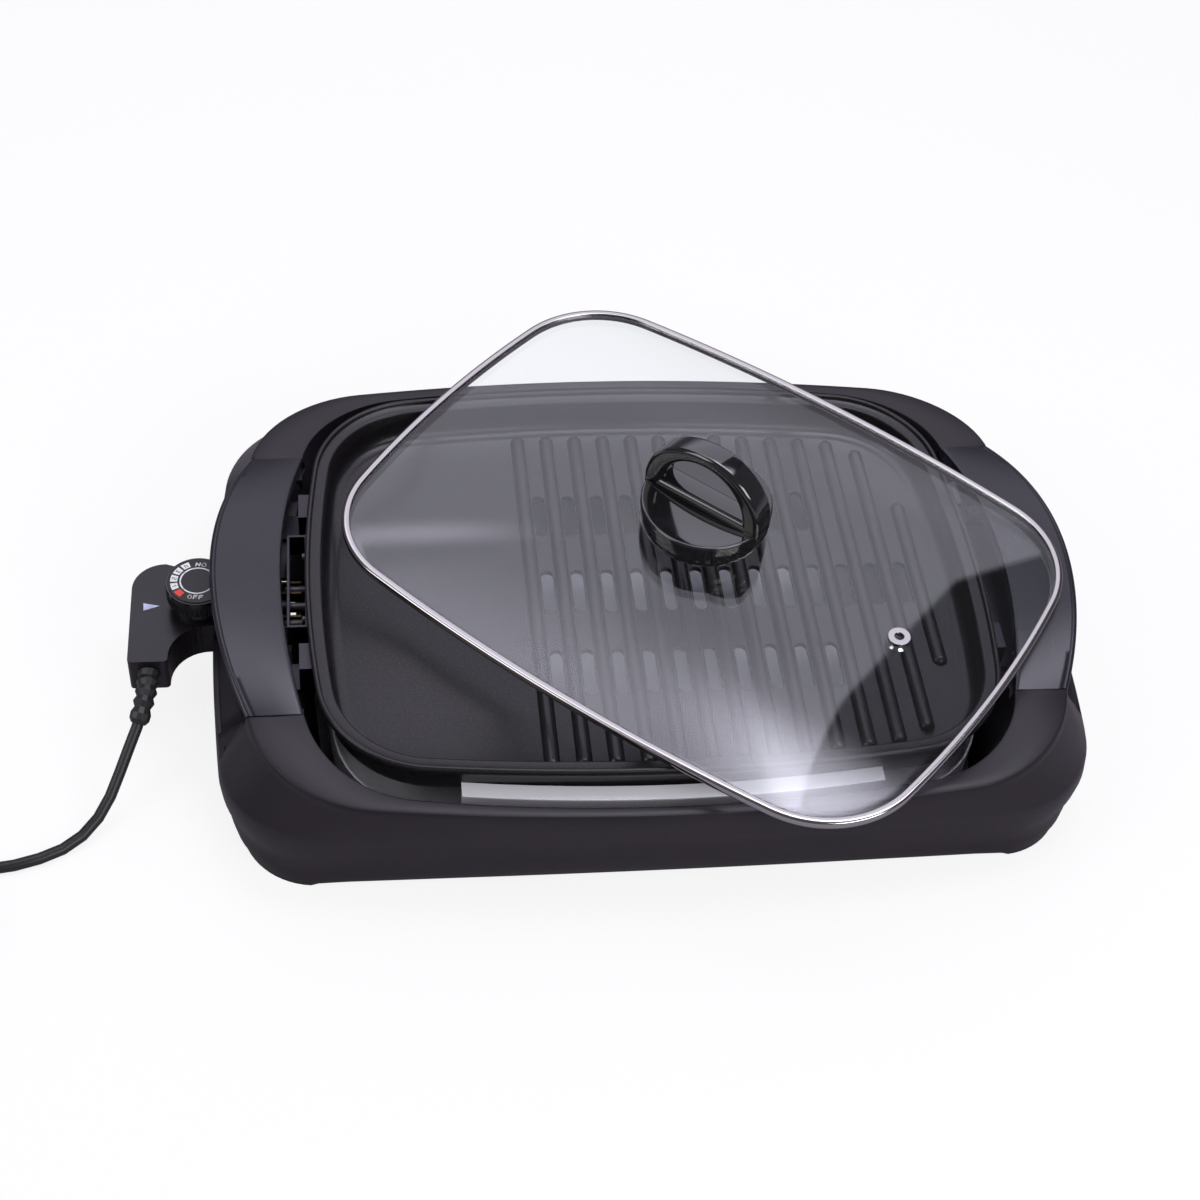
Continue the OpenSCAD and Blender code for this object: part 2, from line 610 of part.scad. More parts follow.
module ctl_bosses(h) for (p = ctl_screw_at) translate([p.x, p.y, 0]) cylinder(r = ctl_boss_r, h = h);
module ctl_holes(h) for (p = ctl_screw_at) translate([p.x, p.y, -1]) cylinder(r = 1.5 + pin_gap, h = h);
relief_z = ctl_top - 11;
relief_x = -ctl_reach + arm_w / 2;
probe_bore_l = 14;
fork_t = 1.6;
fork_half = pin_r + fork_gap + fork_t;
module sockets() {
    translate([snout_x - 5, 0, term_z]) rotate([0, 90, 0]) cylinder(r = probe_r + pin_gap, h = 10);
    for (side = [-1, 1]) translate([snout_x - 5, side * pin_half - fork_half - 0.1, term_z - fork_half - 0.1])
        cube([10, 2 * fork_half + 0.2, fork_half + pin_r + 0.2]);
    translate([relief_x, -arm_y + 5, relief_z]) rotate([90, 0, 0]) cylinder(r = 4.1, h = 10);
}
module controller_lower_housing() placed() color([0.13, 0.12, 0.14]) difference() {
    union() {
        translate([0, 0, ctl_low]) linear_extrude(ctl_split - ctl_low) difference() {
            ctl_area();
            ctl_hollow();
        }
        translate([0, 0, ctl_low]) linear_extrude(ctl_wall) ctl_area();
        translate([0, 0, ctl_low]) ctl_bosses(ctl_split - ctl_low);
    }
    translate([0, 0, ctl_low]) ctl_holes(30);
    for (p = ctl_screw_at) translate([p.x, p.y, ctl_low - 1]) cylinder(r = 2.8, h = 3);
    sockets();
}
module controller_upper_housing() placed() color([0.16, 0.15, 0.17]) difference() {
    union() {
        translate([0, 0, ctl_split]) linear_extrude(ctl_top - ctl_split) difference() {
            ctl_area();
            ctl_hollow();
        }
        translate([0, 0, ctl_top - ctl_wall]) linear_extrude(ctl_wall) ctl_area();
        translate([0, 0, ctl_split]) ctl_bosses(ctl_top - ctl_split);
    }
    translate([0, 0, ctl_split]) ctl_holes(9);
    sockets();
    translate([-dial_x, 0, ctl_split]) cylinder(r = shaft_r + pin_gap, h = 30);
    translate([0, 0, ctl_top - ctl_wall - 1]) linear_extrude(ctl_wall + 2) lens_area(0.1);
}
module controller_screws() placed() color(steel)
    for (p = ctl_screw_at) translate([p.x, p.y, ctl_low + 2]) {
        cylinder(r = 1.5, h = ctl_split - ctl_low + 4);
        translate([0, 0, -1.6]) cylinder(r = 2.6, h = 1.6);
    }
module lens_area(gap) translate([-dial_x - dial_r - 15, -2]) rotate(3)
    polygon([[-gap, -3 - gap * 1.5], [10 + gap * 3, 0], [-gap, 3 + gap * 1.5]]);
module indicator_lens() placed() color([0.6, 0.64, 0.78])
    translate([0, 0, ctl_top - ctl_wall]) linear_extrude(ctl_wall + 0.3) lens_area(0);
module indicator_lamp() placed() color([0.9, 0.55, 0.3])
    translate([-dial_x - dial_r - 11, -2, ctl_top - ctl_wall - 0.2]) {
        translate([0, 0, -4]) cylinder(r = 2.4, h = 4);
        translate([0, 0, -8]) cylinder(r = 1, h = 4);
    }
module probe() placed() color(steel) translate([snout_x - probe_bore_l, 0, term_z]) rotate([0, 90, 0]) {
    cylinder(r = probe_r, h = probe_bore_l + probe_l - 3);
    translate([0, 0, probe_bore_l + probe_l - 3]) cylinder(r1 = probe_r, r2 = 1.4, h = 3);
}
module probe_collar() placed() color([0.6, 0.6, 0.62])
    translate([snout_x + 0.1, 0, term_z]) rotate([0, 90, 0]) difference() {
        cylinder(r = probe_r + 1.6, h = 3);
        translate([0, 0, -1]) cylinder(r = probe_r + pin_gap, h = 5);
    }
module contact_forks() placed() color([0.8, 0.65, 0.3])
    for (side = [-1, 1]) translate([snout_x - 3, side * pin_half, term_z]) difference() {
        translate([0, -fork_half, -fork_half]) cube([15, 2 * fork_half, fork_half + pin_r]);
        translate([3.2, -pin_r - fork_gap, -pin_r - fork_gap]) cube([20, 2 * (pin_r + fork_gap), 20]);
    }
module thermostat_block() placed() color([0.9, 0.88, 0.84])
    translate([snout_x - probe_bore_l - 14, -11, ctl_low + ctl_wall + 0.1]) difference() {
        cube([14, 22, 17]);
        translate([4, -1, 12]) cube([6, 24, 8]);
    }
module thermostat_blade() placed() color([0.75, 0.6, 0.35])
    translate([-dial_x - 6, -3, ctl_low + ctl_wall + 6])
        cube([dial_x + 6 + snout_x - probe_bore_l - 14.1, 6, 0.8]);

// The dial
shaft_r = 3;
collar_h = 8;
module dial_collar() placed() color([0.1, 0.1, 0.11]) translate([-dial_x, 0, ctl_top]) difference() {
    union() {
        cylinder(r = dial_r - 3.2, h = collar_h);
        translate([0, 0, collar_h - 3]) cylinder(r = dial_r - 1.4, h = 3);
    }
    translate([0, 0, -1]) cylinder(r = shaft_r + run_gap, h = 20);
}
knob_low = ctl_top + collar_h + run_gap;
face_t = 0.6;
module dial_knob() placed() color([0.12, 0.12, 0.13]) translate([-dial_x, 0, knob_low]) difference() {
    cylinder(r = dial_r, h = dial_top - face_t - knob_low, $fn = 96);
    for (i = [0 : 35]) rotate(i * 10) translate([dial_r + 0.3, 0, -1]) cylinder(r = 0.9, h = 8, $fn = 16);
    translate([0, 0, -1]) cylinder(r = shaft_r + pin_gap, h = 8);
}
module dial_face() placed() color([0.85, 0.85, 0.85])
    translate([-dial_x, 0, dial_top - face_t]) cylinder(r = dial_r - 1.2, h = face_t, $fn = 96);
module dial_shaft() placed() color(steel)
    translate([-dial_x, 0, ctl_low + ctl_wall + 9]) cylinder(r = shaft_r, h = knob_low + 6.9 - ctl_low - ctl_wall - 9);
module dial_cam() placed() color([0.9, 0.88, 0.84])
    translate([-dial_x, 0, ctl_low + ctl_wall + 9]) difference() {
        cylinder(r = 7, h = 5);
        translate([0, 0, -1]) cylinder(r = shaft_r + pin_gap, h = 8);
    }

// The cord: strain relief, free stretch, coil, tie and plug
cord_shift = [320 - ctl_reach, 0, 0];
relief_path = [for (p = [[-308, -42.5, 51], [-308, -46.1, 51], [-308, -46.4, 51], [-308.2, -50, 50.8],
    [-308.4, -53, 50.5], [-308.8, -56, 50], [-309.2, -59, 49.2], [-309.8, -62, 48.2], [-310.5, -65, 47],
    [-311.3, -68, 45.5], [-312.2, -71, 43.8], [-313.2, -74, 41.8], [-314, -76, 40.4]])
    p + cord_shift];
relief_r = [4, 4, 7.2, 5.6, 7, 5.3, 6.8, 5.1, 6.6, 4.9, 6.4, 6.2, 4.4];
module strain_relief() placed() color([0.1, 0.1, 0.11]) lofted(tube_rings(relief_path, relief_r, 12));

cord_path = [for (p = [[-314, -76, 40.4], [-314.8, -78, 39], [-316.4, -81, 36.6], [-320, -88, 31], [-325, -98, 23], [-331, -110, 14.5],
    [-338, -121, 8.5], [-347, -131, 5], [-358, -139, 3.5], [-371, -145, 3.5], [-385, -149, 3.5],
    [-400, -151, 3.5], [-414, -152, 3.5], [-428, -152, 3.5]])
    p + cord_shift];
module power_cord() placed() color([0.09, 0.09, 0.1])
    lofted(tube_rings(cord_path, [for (p = cord_path) cord_d / 2], 10));

// The coil: it winds in on the lower layer, climbs in a half turn and winds out on the upper one
coil_mid = [cord_shift.x - 447, -152 - coil_r - coil_pitch * coil_turns / 2];
coil_rings = 24;
climb_steps = coil_rings / 2;
wound_steps = coil_turns * coil_rings;
coil_steps = 2 * wound_steps + climb_steps - coil_rings / 4;
coil_out_r = coil_r + coil_pitch * coil_turns / 2;
function coil_point(i) =
    let (total = 2 * wound_steps + climb_steps,
        from_mid = abs(i - total / 2) - climb_steps / 2,
        r = coil_out_r - coil_pitch * coil_turns + (coil_pitch / coil_rings) * max(from_mid, 0),
        z = cord_d / 2 + coil_lift + coil_pitch * 0.98 * smooth((i - wound_steps) / climb_steps))
    [coil_mid.x + r * cos(90 + 360 * i / coil_rings), coil_mid.y + r * sin(90 + 360 * i / coil_rings), z];
coil_last = coil_point(coil_steps);
coil_path = concat([cord_path[len(cord_path) - 1], cord_path[len(cord_path) - 1] - [4, 0, 0], [coil_mid.x + 9, -152, cord_d / 2 + coil_lift / 2]],
    [for (i = [0 : coil_steps]) coil_point(i)],
    [coil_last + [0, -4, 0], coil_last + [0, -12, 0]]);
coil_gap = min([for (i = [2 : len(coil_path) - 3]) for (j = [i + coil_rings / 2 : 1 : len(coil_path) - 3])
    norm(coil_path[i] - coil_path[j])]) - cord_d;
function path_length(path, i = 0, sum = 0) =
    i >= len(path) - 1 ? sum : path_length(path, i + 1, sum + norm(path[i + 1] - path[i]));
echo(coil_gap = coil_gap, cord_length = path_length(cord_path) + path_length(coil_path));
module cord_coil() placed() color([0.09, 0.09, 0.1])
    lofted(tube_rings(coil_path, [for (p = coil_path) cord_d / 2], 6));
module coil_tie() placed() color([0.85, 0.85, 0.85])
    translate([coil_mid.x - coil_r, coil_mid.y, cord_d / 2 + coil_lift + coil_pitch * 0.49]) rotate([90, 0, 0])
        linear_extrude(4, center = true) difference() {
            square([coil_pitch * coil_turns + cord_d + 2.4, coil_pitch * 0.98 + cord_d + 1.4], center = true);
            square([coil_pitch * coil_turns + cord_d + 0.8, coil_pitch * 0.98 + cord_d + 0.4], center = true);
        }
plug_r = 18.5;
plug_at = coil_last + [0, -12 - 20 - plug_r, 0];
module plug_body() placed() color([0.1, 0.1, 0.11]) {
    translate([plug_at.x, plug_at.y, 0]) difference() {
        cylinder(r = plug_r, h = 24, $fn = 64);
        translate([0, 0, 18]) rotate_extrude() translate([plug_r - 3, 0]) square([10, 10]);
    }
    translate([coil_last.x, coil_last.y - 12, coil_last.z]) rotate([90, 0, 0])
        cylinder(r1 = 5, r2 = 8, h = 24);
}
module plug_pins() placed() color(steel)
    for (side = [-1, 1]) translate([plug_at.x + side * 9.5, plug_at.y, 24]) {
        cylinder(r = 2.4, h = 17);
        translate([0, 0, 17]) cylinder(r1 = 2.4, r2 = 1.4, h = 2);
    }

// The lid, in its own level frame, with its rim band's middle at zero height
module on_plate() placed() translate([lid_x, lid_y, lid_z])
    rotate([lid_tilt_y, -lid_tilt_x, 0]) rotate(lid_turn) children();
lid_len = plate_len - 2 * lid_inset;
lid_wid = plate_wid - 2 * lid_inset;
lid_r = plate_r - lid_inset;
function lid_ring(inset, z) = at_z(outline(lid_len - 2 * inset, lid_wid - 2 * inset, lid_r - inset, 7.6), z);
slot_gap = 0.1;
glass_in = 1.3;
function glass_ring(share, z) = at_z([for (p = outline(lid_len - 2 * glass_in, lid_wid - 2 * glass_in, lid_r, 7.6)) p * share], z);
glass_shares = [0.1, 0.25, 0.4, 0.55, 0.7, 0.82, 0.9, 0.95, 0.975, 1];
module lid_glass() on_plate() color([0.8, 0.85, 0.88, 0.4]) difference() {
    lofted(concat(
        [for (share = glass_shares) glass_ring(share, glass_height(share) - glass_t / 2)],
        [for (i = [len(glass_shares) - 1 : -1 : 0]) glass_ring(glass_shares[i], glass_height(glass_shares[i]) + glass_t / 2)]));
    translate([vent_x, 0, -5]) cylinder(r = 5, h = 40);
    translate([0, 0, -5]) cylinder(r = 4, h = 40);
}
function glass_height(share) = share > 0.96 ? 0 : dome_rise * (1 - (share / 0.975) ^ 2);
module lid_band() on_plate() color(steel) ring_skin([
    lid_ring(0, 1.5 - band_h / 2), lid_ring(0, band_h / 2 - 1.5), lid_ring(1.2, band_h / 2),
    lid_ring(band_w, band_h / 2), lid_ring(band_w, glass_t / 2 + slot_gap), lid_ring(1.2, glass_t / 2 + slot_gap),
    lid_ring(1.2, -glass_t / 2 - slot_gap), lid_ring(band_w, -glass_t / 2 - slot_gap),
    lid_ring(band_w, -band_h / 2), lid_ring(1.2, -band_h / 2)]);
vent_z = glass_height(vent_x / (lid_len / 2));
module vent_grommet() on_plate() color(steel) translate([vent_x, 0, vent_z]) rotate_extrude()
    polygon([[3, -glass_t / 2 - 1.8], [6.6, -glass_t / 2 - 1.8], [6.6, -glass_t / 2 - 0.8], [4.8, -glass_t / 2 - 0.8],
        [4.8, glass_t / 2 + 0.8], [6.8, glass_t / 2 + 0.8], [6.8, glass_t / 2 + 1.8], [3, glass_t / 2 + 1.8]]);
glass_top = glass_height(glass_shares[0]) + glass_t / 2;
gasket_t = 1.5;
drum_low = glass_top + gasket_t;
drum_top = drum_low + drum_h;
dish_d = 3;
bar_top = drum_top + 5;
module screw_bore() translate([0, 0, glass_top - 1]) cylinder(r = screw_r + pin_gap, h = bar_top - 1.5 - glass_top);
module handle_gasket() on_plate() color([0.1, 0.1, 0.1]) difference() {
    translate([0, 0, glass_top]) cylinder(r = drum_r - 6, h = gasket_t);
    screw_bore();
}
module handle_drum() on_plate() color([0.1, 0.1, 0.11]) difference() {
    translate([0, 0, drum_low]) rotate_extrude($fn = 96) polygon([[0, 0], [drum_r - 5, 0],
        [drum_r - 2, 2], [drum_r - 0.4, 6], [drum_r, 10], [drum_r, drum_h - 2.5],
        [drum_r - 0.7, drum_h - 0.8], [drum_r - 2, drum_h], [drum_r - 3, drum_h],
        [drum_r - 5, drum_h - 1], [drum_r / 2, drum_h - dish_d + 0.4], [0, drum_h - dish_d]]);
    translate([-drum_r - 5, -loop_w / 2 - 0.1, drum_top - dish_d - 0.1])
        cube([2 * drum_r + 10, loop_w + 0.2, 20]);
    screw_bore();
}
// An arch of the given half width and height over the drum
function arch(half, rise, base) =
    [for (i = [0 : 30]) [half * cos(i * 6), base + rise * sin(i * 6)]];
loop_top = glass_top + grip_h;
loop_low = drum_top - dish_d - 0.1;
module handle_loop() on_plate() color([0.1, 0.1, 0.11]) difference() {
    rotate([90, 0, 0]) linear_extrude(loop_w, center = true) difference() {
        polygon(concat([[-drum_r + 2.5, loop_low], [drum_r - 2.5, loop_low], [drum_r + 0.5, drum_top]],
            arch(grip_half, loop_top - drum_top - 3, drum_top + 3), [[-drum_r - 0.5, drum_top]]));
        intersection() {
            polygon(arch(grip_half - loop_side, loop_top - loop_t - drum_top - 3, drum_top + 3));
            translate([-grip_half, bar_top]) square([2 * grip_half, grip_h]);
        }
    }
    screw_bore();
}
glass_low = glass_top - glass_t;
module handle_washer() on_plate() color([0.3, 0.3, 0.3]) translate([0, 0, glass_low - 1.5]) difference() {
    cylinder(r = 9, h = 1.5);
    translate([0, 0, -1]) cylinder(r = screw_r + 0.3, h = 4);
}
module handle_screw() on_plate() color(steel) translate([0, 0, glass_low - 1.5]) {
    cylinder(r = screw_r, h = bar_top - 3.5 - glass_low + 1.5);
    translate([0, 0, -2]) cylinder(r = 4, h = 2);
}

base_housing();
left_handle();
right_handle();
handle_screws();
plate_brackets();
bracket_screws();
rubber_feet();
drip_tray();
grill_plate();
heating_element();
terminal_insulators();
terminal_pins();
terminal_guard();
guard_screws();
probe_saddle();
controller_lower_housing();
controller_upper_housing();
controller_screws();
probe();
probe_collar();
contact_forks();
thermostat_block();
thermostat_blade();
indicator_lamp();
indicator_lens();
dial_collar();
dial_knob();
dial_face();
dial_shaft();
dial_cam();
strain_relief();
power_cord();
cord_coil();
coil_tie();
plug_body();
plug_pins();
lid_glass();
lid_band();
vent_grommet();
handle_gasket();
handle_drum();
handle_loop();
handle_washer();
handle_screw();
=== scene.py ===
from math import atan2, cos, degrees, pi, radians, sin, sqrt
import bmesh
import bpy
from mathutils import Euler, Matrix, Vector


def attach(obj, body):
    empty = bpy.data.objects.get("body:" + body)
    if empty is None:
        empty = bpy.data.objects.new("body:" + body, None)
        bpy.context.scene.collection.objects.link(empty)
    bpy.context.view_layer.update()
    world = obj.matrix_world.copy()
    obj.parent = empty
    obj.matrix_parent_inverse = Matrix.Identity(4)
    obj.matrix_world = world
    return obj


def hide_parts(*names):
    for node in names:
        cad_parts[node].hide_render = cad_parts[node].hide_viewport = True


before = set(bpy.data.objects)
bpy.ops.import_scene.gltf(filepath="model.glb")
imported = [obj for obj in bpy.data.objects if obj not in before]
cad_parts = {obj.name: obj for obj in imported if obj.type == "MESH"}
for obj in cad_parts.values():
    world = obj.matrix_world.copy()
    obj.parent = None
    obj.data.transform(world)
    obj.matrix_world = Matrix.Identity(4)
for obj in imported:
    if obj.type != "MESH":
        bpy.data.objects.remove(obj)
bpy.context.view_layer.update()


# The camera stands where the photographer stood: in front of the grill, a little to the left,
# looking down by 48 degrees. All sizes below are millimetres from the middle of the grill's
# base, and at() turns them into the frame's metres.
def at(x, y, z):
    return Vector(((x + 25.0) / 1000.0, (y - 11.0) / 1000.0, z / 1000.0))


eye = at(-187.0, -821.0, 995.6)
look = Vector((0.1267, 0.6522, -0.7474)).normalized()
up = Vector((0.0271, 0.7509, 0.6598))
right = look.cross(up).normalized()
up = right.cross(look)
camera = bpy.data.objects.new("Camera", bpy.data.cameras.new("Camera"))
camera.data.sensor_width = 36.0
camera.data.lens = 59.17
camera.data.clip_end = 20.0
camera.matrix_world = Matrix.Translation(eye) @ Matrix((right, up, -look)).transposed().to_4x4()
bpy.context.collection.objects.link(camera)
bpy.context.scene.camera = camera


# The studio: a white sweep and surround, a softbox at the left and one at the front, and a large
# soft panel behind and above the grill, which the glass lid mirrors. Lengths here are metres.
class Wire:
    """One value in a material: arithmetic on it adds Math nodes."""

    def __init__(self, tree, socket):
        self.tree, self.socket = tree, socket

    def math(self, operation, *values):
        return make(self.tree, "ShaderNodeMath", *values, operation=operation)

    def __add__(self, other): return self.math("ADD", self, other)
    def __radd__(self, other): return self.math("ADD", other, self)
    def __sub__(self, other): return self.math("SUBTRACT", self, other)
    def __rsub__(self, other): return self.math("SUBTRACT", other, self)
    def __mul__(self, other): return self.math("MULTIPLY", self, other)
    def __rmul__(self, other): return self.math("MULTIPLY", other, self)


def make(tree, kind, *values, out=0, inputs=None, **settings):
    """Adds a node, sets it, fills its sockets in order or by name, and returns one output."""
    node = tree.nodes.new(kind)
    for name, value in settings.items():
        if name == "ramp":
            while len(node.color_ramp.elements) < len(value):
                node.color_ramp.elements.new(0.5)
            for stop, (place, colour) in zip(node.color_ramp.elements, value):
                stop.position, stop.color = place, colour
        else:
            setattr(node, name, value)
    for key, value in list(enumerate(values)) + list((inputs or {}).items()):
        if isinstance(value, Wire):
            tree.links.new(value.socket, node.inputs[key])
        else:
            node.inputs[key].default_value = value
    return Wire(tree, node.outputs[out] if len(node.outputs) else None)


def empty_material(name):
    material = bpy.data.materials.new(name)
    material.use_nodes = True
    material.node_tree.nodes.clear()
    return material, material.node_tree


def surface(tree, shader):
    make(tree, "ShaderNodeOutputMaterial", inputs={"Surface": shader})


def ramped(value, low, high, a=0.0, b=1.0):
    return make(value.tree, "ShaderNodeMapRange", value, low, high, a, b,
                interpolation_type="SMOOTHSTEP")


def ray_kinds(tree):
    """Two masks: what the camera sees, directly or through glass, and what a gloss mirrors."""
    camera_ray = make(tree, "ShaderNodeLightPath", out="Is Camera Ray")
    outputs = camera_ray.socket.node.outputs
    seen = camera_ray.math("MAXIMUM", camera_ray, Wire(tree, outputs["Is Transmission Ray"]))
    return seen, Wire(tree, outputs["Is Glossy Ray"])


world = bpy.data.worlds.new("Studio")
bpy.context.scene.world = world
world.use_nodes = True
world.node_tree.nodes.clear()
tree = world.node_tree
seen, mirrored = ray_kinds(tree)
room_light, mirrored_less = 0.42, 0.3
room_red, room_green = 0.95, 0.91
strength = room_light + seen * (1.0 - room_light) - mirrored * mirrored_less
tint = make(tree, "ShaderNodeCombineColor", seen * (1.0 - room_red) + room_red,
            seen * (1.0 - room_green) + room_green, 1.0)
make(tree, "ShaderNodeOutputWorld", inputs={
    "Surface": make(tree, "ShaderNodeBackground", tint, strength)})

floor_material, tree = empty_material("Sweep")
seen, mirrored = ray_kinds(tree)
paper = make(tree, "ShaderNodeBsdfDiffuse", (0.86, 0.86, 0.87, 1.0))
glow = make(tree, "ShaderNodeEmission", (1.0, 1.0, 1.0, 1.0), 1.0)
place = make(tree, "ShaderNodeTexCoord", out="Object")
from_grill = make(tree, "ShaderNodeVectorMath", place, operation="LENGTH", out="Value")
shade = make(tree, "ShaderNodeBsdfDiffuse", (0.34, 0.32, 0.35, 1.0))
whiteness = seen * ramped(from_grill, 0.7, 3.0, 0.84, 1.0)
surface(tree, make(tree, "ShaderNodeMixShader", mirrored, make(
    tree, "ShaderNodeMixShader", whiteness, paper, glow), shade))


def sheet(name, left, right, low, high, material):
    """A flat rectangle of the studio."""
    mesh = bpy.data.meshes.new(name)
    mesh.from_pydata([(left, low, 0), (right, low, 0), (right, high, 0), (left, high, 0)], [],
                     [(0, 1, 2, 3)])
    flat = bpy.data.objects.new(name, mesh)
    flat.data.materials.append(material)
    bpy.context.collection.objects.link(flat)
    return flat


floor = sheet("Sweep", -30, 30, -30, 30, floor_material)


def softbox(name, place, aim, width, height, power):
    lamp = bpy.data.lights.new(name, "AREA")
    lamp.shape, lamp.size, lamp.size_y, lamp.energy = "RECTANGLE", width, height, power
    lit = bpy.data.objects.new(name, lamp)
    lit.matrix_world = (Matrix.Translation(place)
                        @ (aim - place).to_track_quat("-Z", "Y").to_matrix().to_4x4())
    bpy.context.collection.objects.link(lit)


grill_middle = at(0, 0, 60)
softbox("Softbox left", Vector((-1.5, -0.4, 1.1)), grill_middle, width=0.9, height=1.2, power=9.0)
softbox("Softbox front", Vector((0.9, -1.5, 1.2)), grill_middle, width=1.2, height=0.8, power=17.0)

panel_material, tree = empty_material("Panel")
place = make(tree, "ShaderNodeTexCoord", out="Object")
u = make(tree, "ShaderNodeSeparateXYZ", place, out="X")
v = Wire(tree, u.socket.node.outputs["Y"])
cut_place, cut_slope, cut_blur = 0.648, 0.604, 0.012
main_part = ramped(u + v * cut_slope, cut_place - cut_blur, cut_place + cut_blur, 1.0, 0.05)
evenly = ramped(v, 0.25, 0.75, 1.35, 2.4)
top_glow = ramped(v, 0.46, 0.84, 0.0, 6.5) * ramped(u, -0.30, 0.14)
left_band = (ramped(v.math("ABSOLUTE", v - 0.10), 0.0, 0.12, 1.4, 0.0)
             * ramped(u, -0.62, -0.30, 1.0, 0.0))
soft_sides = ramped(u.math("ABSOLUTE", u), 0.85, 1.15, 1.0, 0.0) * ramped(v, -0.95, -0.40, 0.25, 1.0)
surface(tree, make(tree, "ShaderNodeEmission", (0.88, 0.86, 1.0, 1.0),
                   (main_part * (left_band + evenly) + top_glow) * soft_sides))
panel = sheet("Panel", -1.2, 1.1, -1.0, 1.25, panel_material)
panel_aim, panel_far = at(35, 11, 96), 1.5
away = Vector((0.127, 0.652, 0.747)).normalized()
across = away.cross(Vector((0, 0, 1))).normalized()
panel.matrix_world = (Matrix.Translation(panel_aim + away * panel_far) @ Matrix(
    (across, across.cross(away), away)).transposed().to_4x4())
panel.visible_camera = False


# The mains lead: 7 mm round rubber flex, 1.16 m long. It drops from the strain relief to the
# table, runs off to the left and lies in a small round coil that ends in a flat mains plug.
def pebbled(name, colour, roughness, grain=900.0, depth=0.15, coat=0.0, smudge=0.06, shine=0.5,
            edge=0.0006):
    """Moulded plastic or rubber: a fine pebble in the skin, and gloss that varies a little."""
    material, tree = empty_material(name)
    place = make(tree, "ShaderNodeTexCoord", out="Object")
    pebble = make(tree, "ShaderNodeTexNoise", inputs={
        "Vector": place, "Scale": grain, "Detail": 3.0})
    cloud = make(tree, "ShaderNodeTexNoise", inputs={
        "Vector": place, "Scale": 14.0, "Detail": 4.0})
    tint = make(tree, "ShaderNodeValToRGB", cloud, ramp=(
        (0.3, (*[0.86 * c for c in colour], 1.0)), (0.7, (*[1.12 * c for c in colour], 1.0))))
    soft_edge = make(tree, "ShaderNodeBevel", samples=4, inputs={"Radius": edge})
    bump = make(tree, "ShaderNodeBump", inputs={
        "Strength": depth, "Distance": 0.0002, "Height": pebble, "Normal": soft_edge})
    surface(tree, make(tree, "ShaderNodeBsdfPrincipled", inputs={
        "Base Color": tint, "Roughness": cloud * smudge * 2.0 + (roughness - smudge),
        "Coat Weight": coat, "Coat Roughness": 0.08, "Specular IOR Level": shine, "Normal": bump}))
    return material


def coated(node, material):
    """Gives a solid that keeps its CAD shape its finish."""
    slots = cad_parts[node].data.materials
    slots.clear()
    slots.append(material)


cord_r = 3.5
cord_rubber = pebbled("Cord rubber", (0.012, 0.012, 0.013), 0.42, grain=500.0, depth=0.3)
lead = [(-314, -76, 40.4), (-314.8, -78, 39), (-316.4, -81, 36.6), (-320, -88, 31), (-325, -98, 23),
        (-331, -110, 14.5), (-338, -121, 8.5), (-347, -131, 5), (-358, -139, 3.5), (-371, -145, 3.5),
        (-385, -149, 3.5), (-400, -151, 3.5), (-414, -152, 3.5), (-428, -152, 3.5), (-432, -152, 3.5),
        (-438, -152, 3.9)]
coil_pitch, coil_mid_r, coil_lift, turns, steps = 8.8, 38.0, 0.8, 2, 24
coil_out = coil_mid_r + coil_pitch * turns / 2
coil_x, coil_y = -447.0, -152.0 - coil_out
wound, climb = turns * steps, steps // 2


def eased(t):
    t = min(max(t, 0.0), 1.0)
    return t * t * (3.0 - 2.0 * t)


# The coil winds inwards on the table, climbs for half a turn and winds outwards on top.
for i in range(2 * wound + climb - steps // 4 + 1):
    beyond = max(abs(i - wound - climb / 2) - climb / 2, 0.0)
    r = coil_out - coil_pitch * turns + coil_pitch / steps * beyond
    turn = radians(90 + 360 * i / steps)
    lead.append((coil_x + r * cos(turn), coil_y + r * sin(turn),
                 cord_r + coil_lift + coil_pitch * 0.98 * eased((i - wound) / climb)))
last = lead[-1]
lead += [(last[0], last[1] - 4, last[2]), (last[0], last[1] - 12, last[2])]
cord_curve = bpy.data.curves.new("Mains_lead", "CURVE")
cord_curve.dimensions = "3D"
cord_curve.bevel_depth = cord_r / 1000
cord_curve.bevel_resolution = 4
cord_curve.use_fill_caps = True
spline = cord_curve.splines.new("POLY")
spline.points.add(len(lead) - 1)
for point, place in zip(spline.points, lead):
    point.co = (*at(*place), 1.0)
cord = bpy.data.objects.new("Mains_lead", cord_curve)
cord.data.materials.append(cord_rubber)
bpy.context.collection.objects.link(cord)
cord_length = sum((at(*a) - at(*b)).length for a, b in zip(lead, lead[1:]))
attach(cord, "controller")
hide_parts("power_cord", "cord_coil")
at(*lead[0])
coated("strain_relief", cord_rubber)
coated("plug_body", pebbled("Plug rubber", (0.014, 0.014, 0.015), 0.38, grain=700.0))
coated("coil_tie", pebbled("Tie", (0.62, 0.62, 0.62), 0.4, grain=300.0))


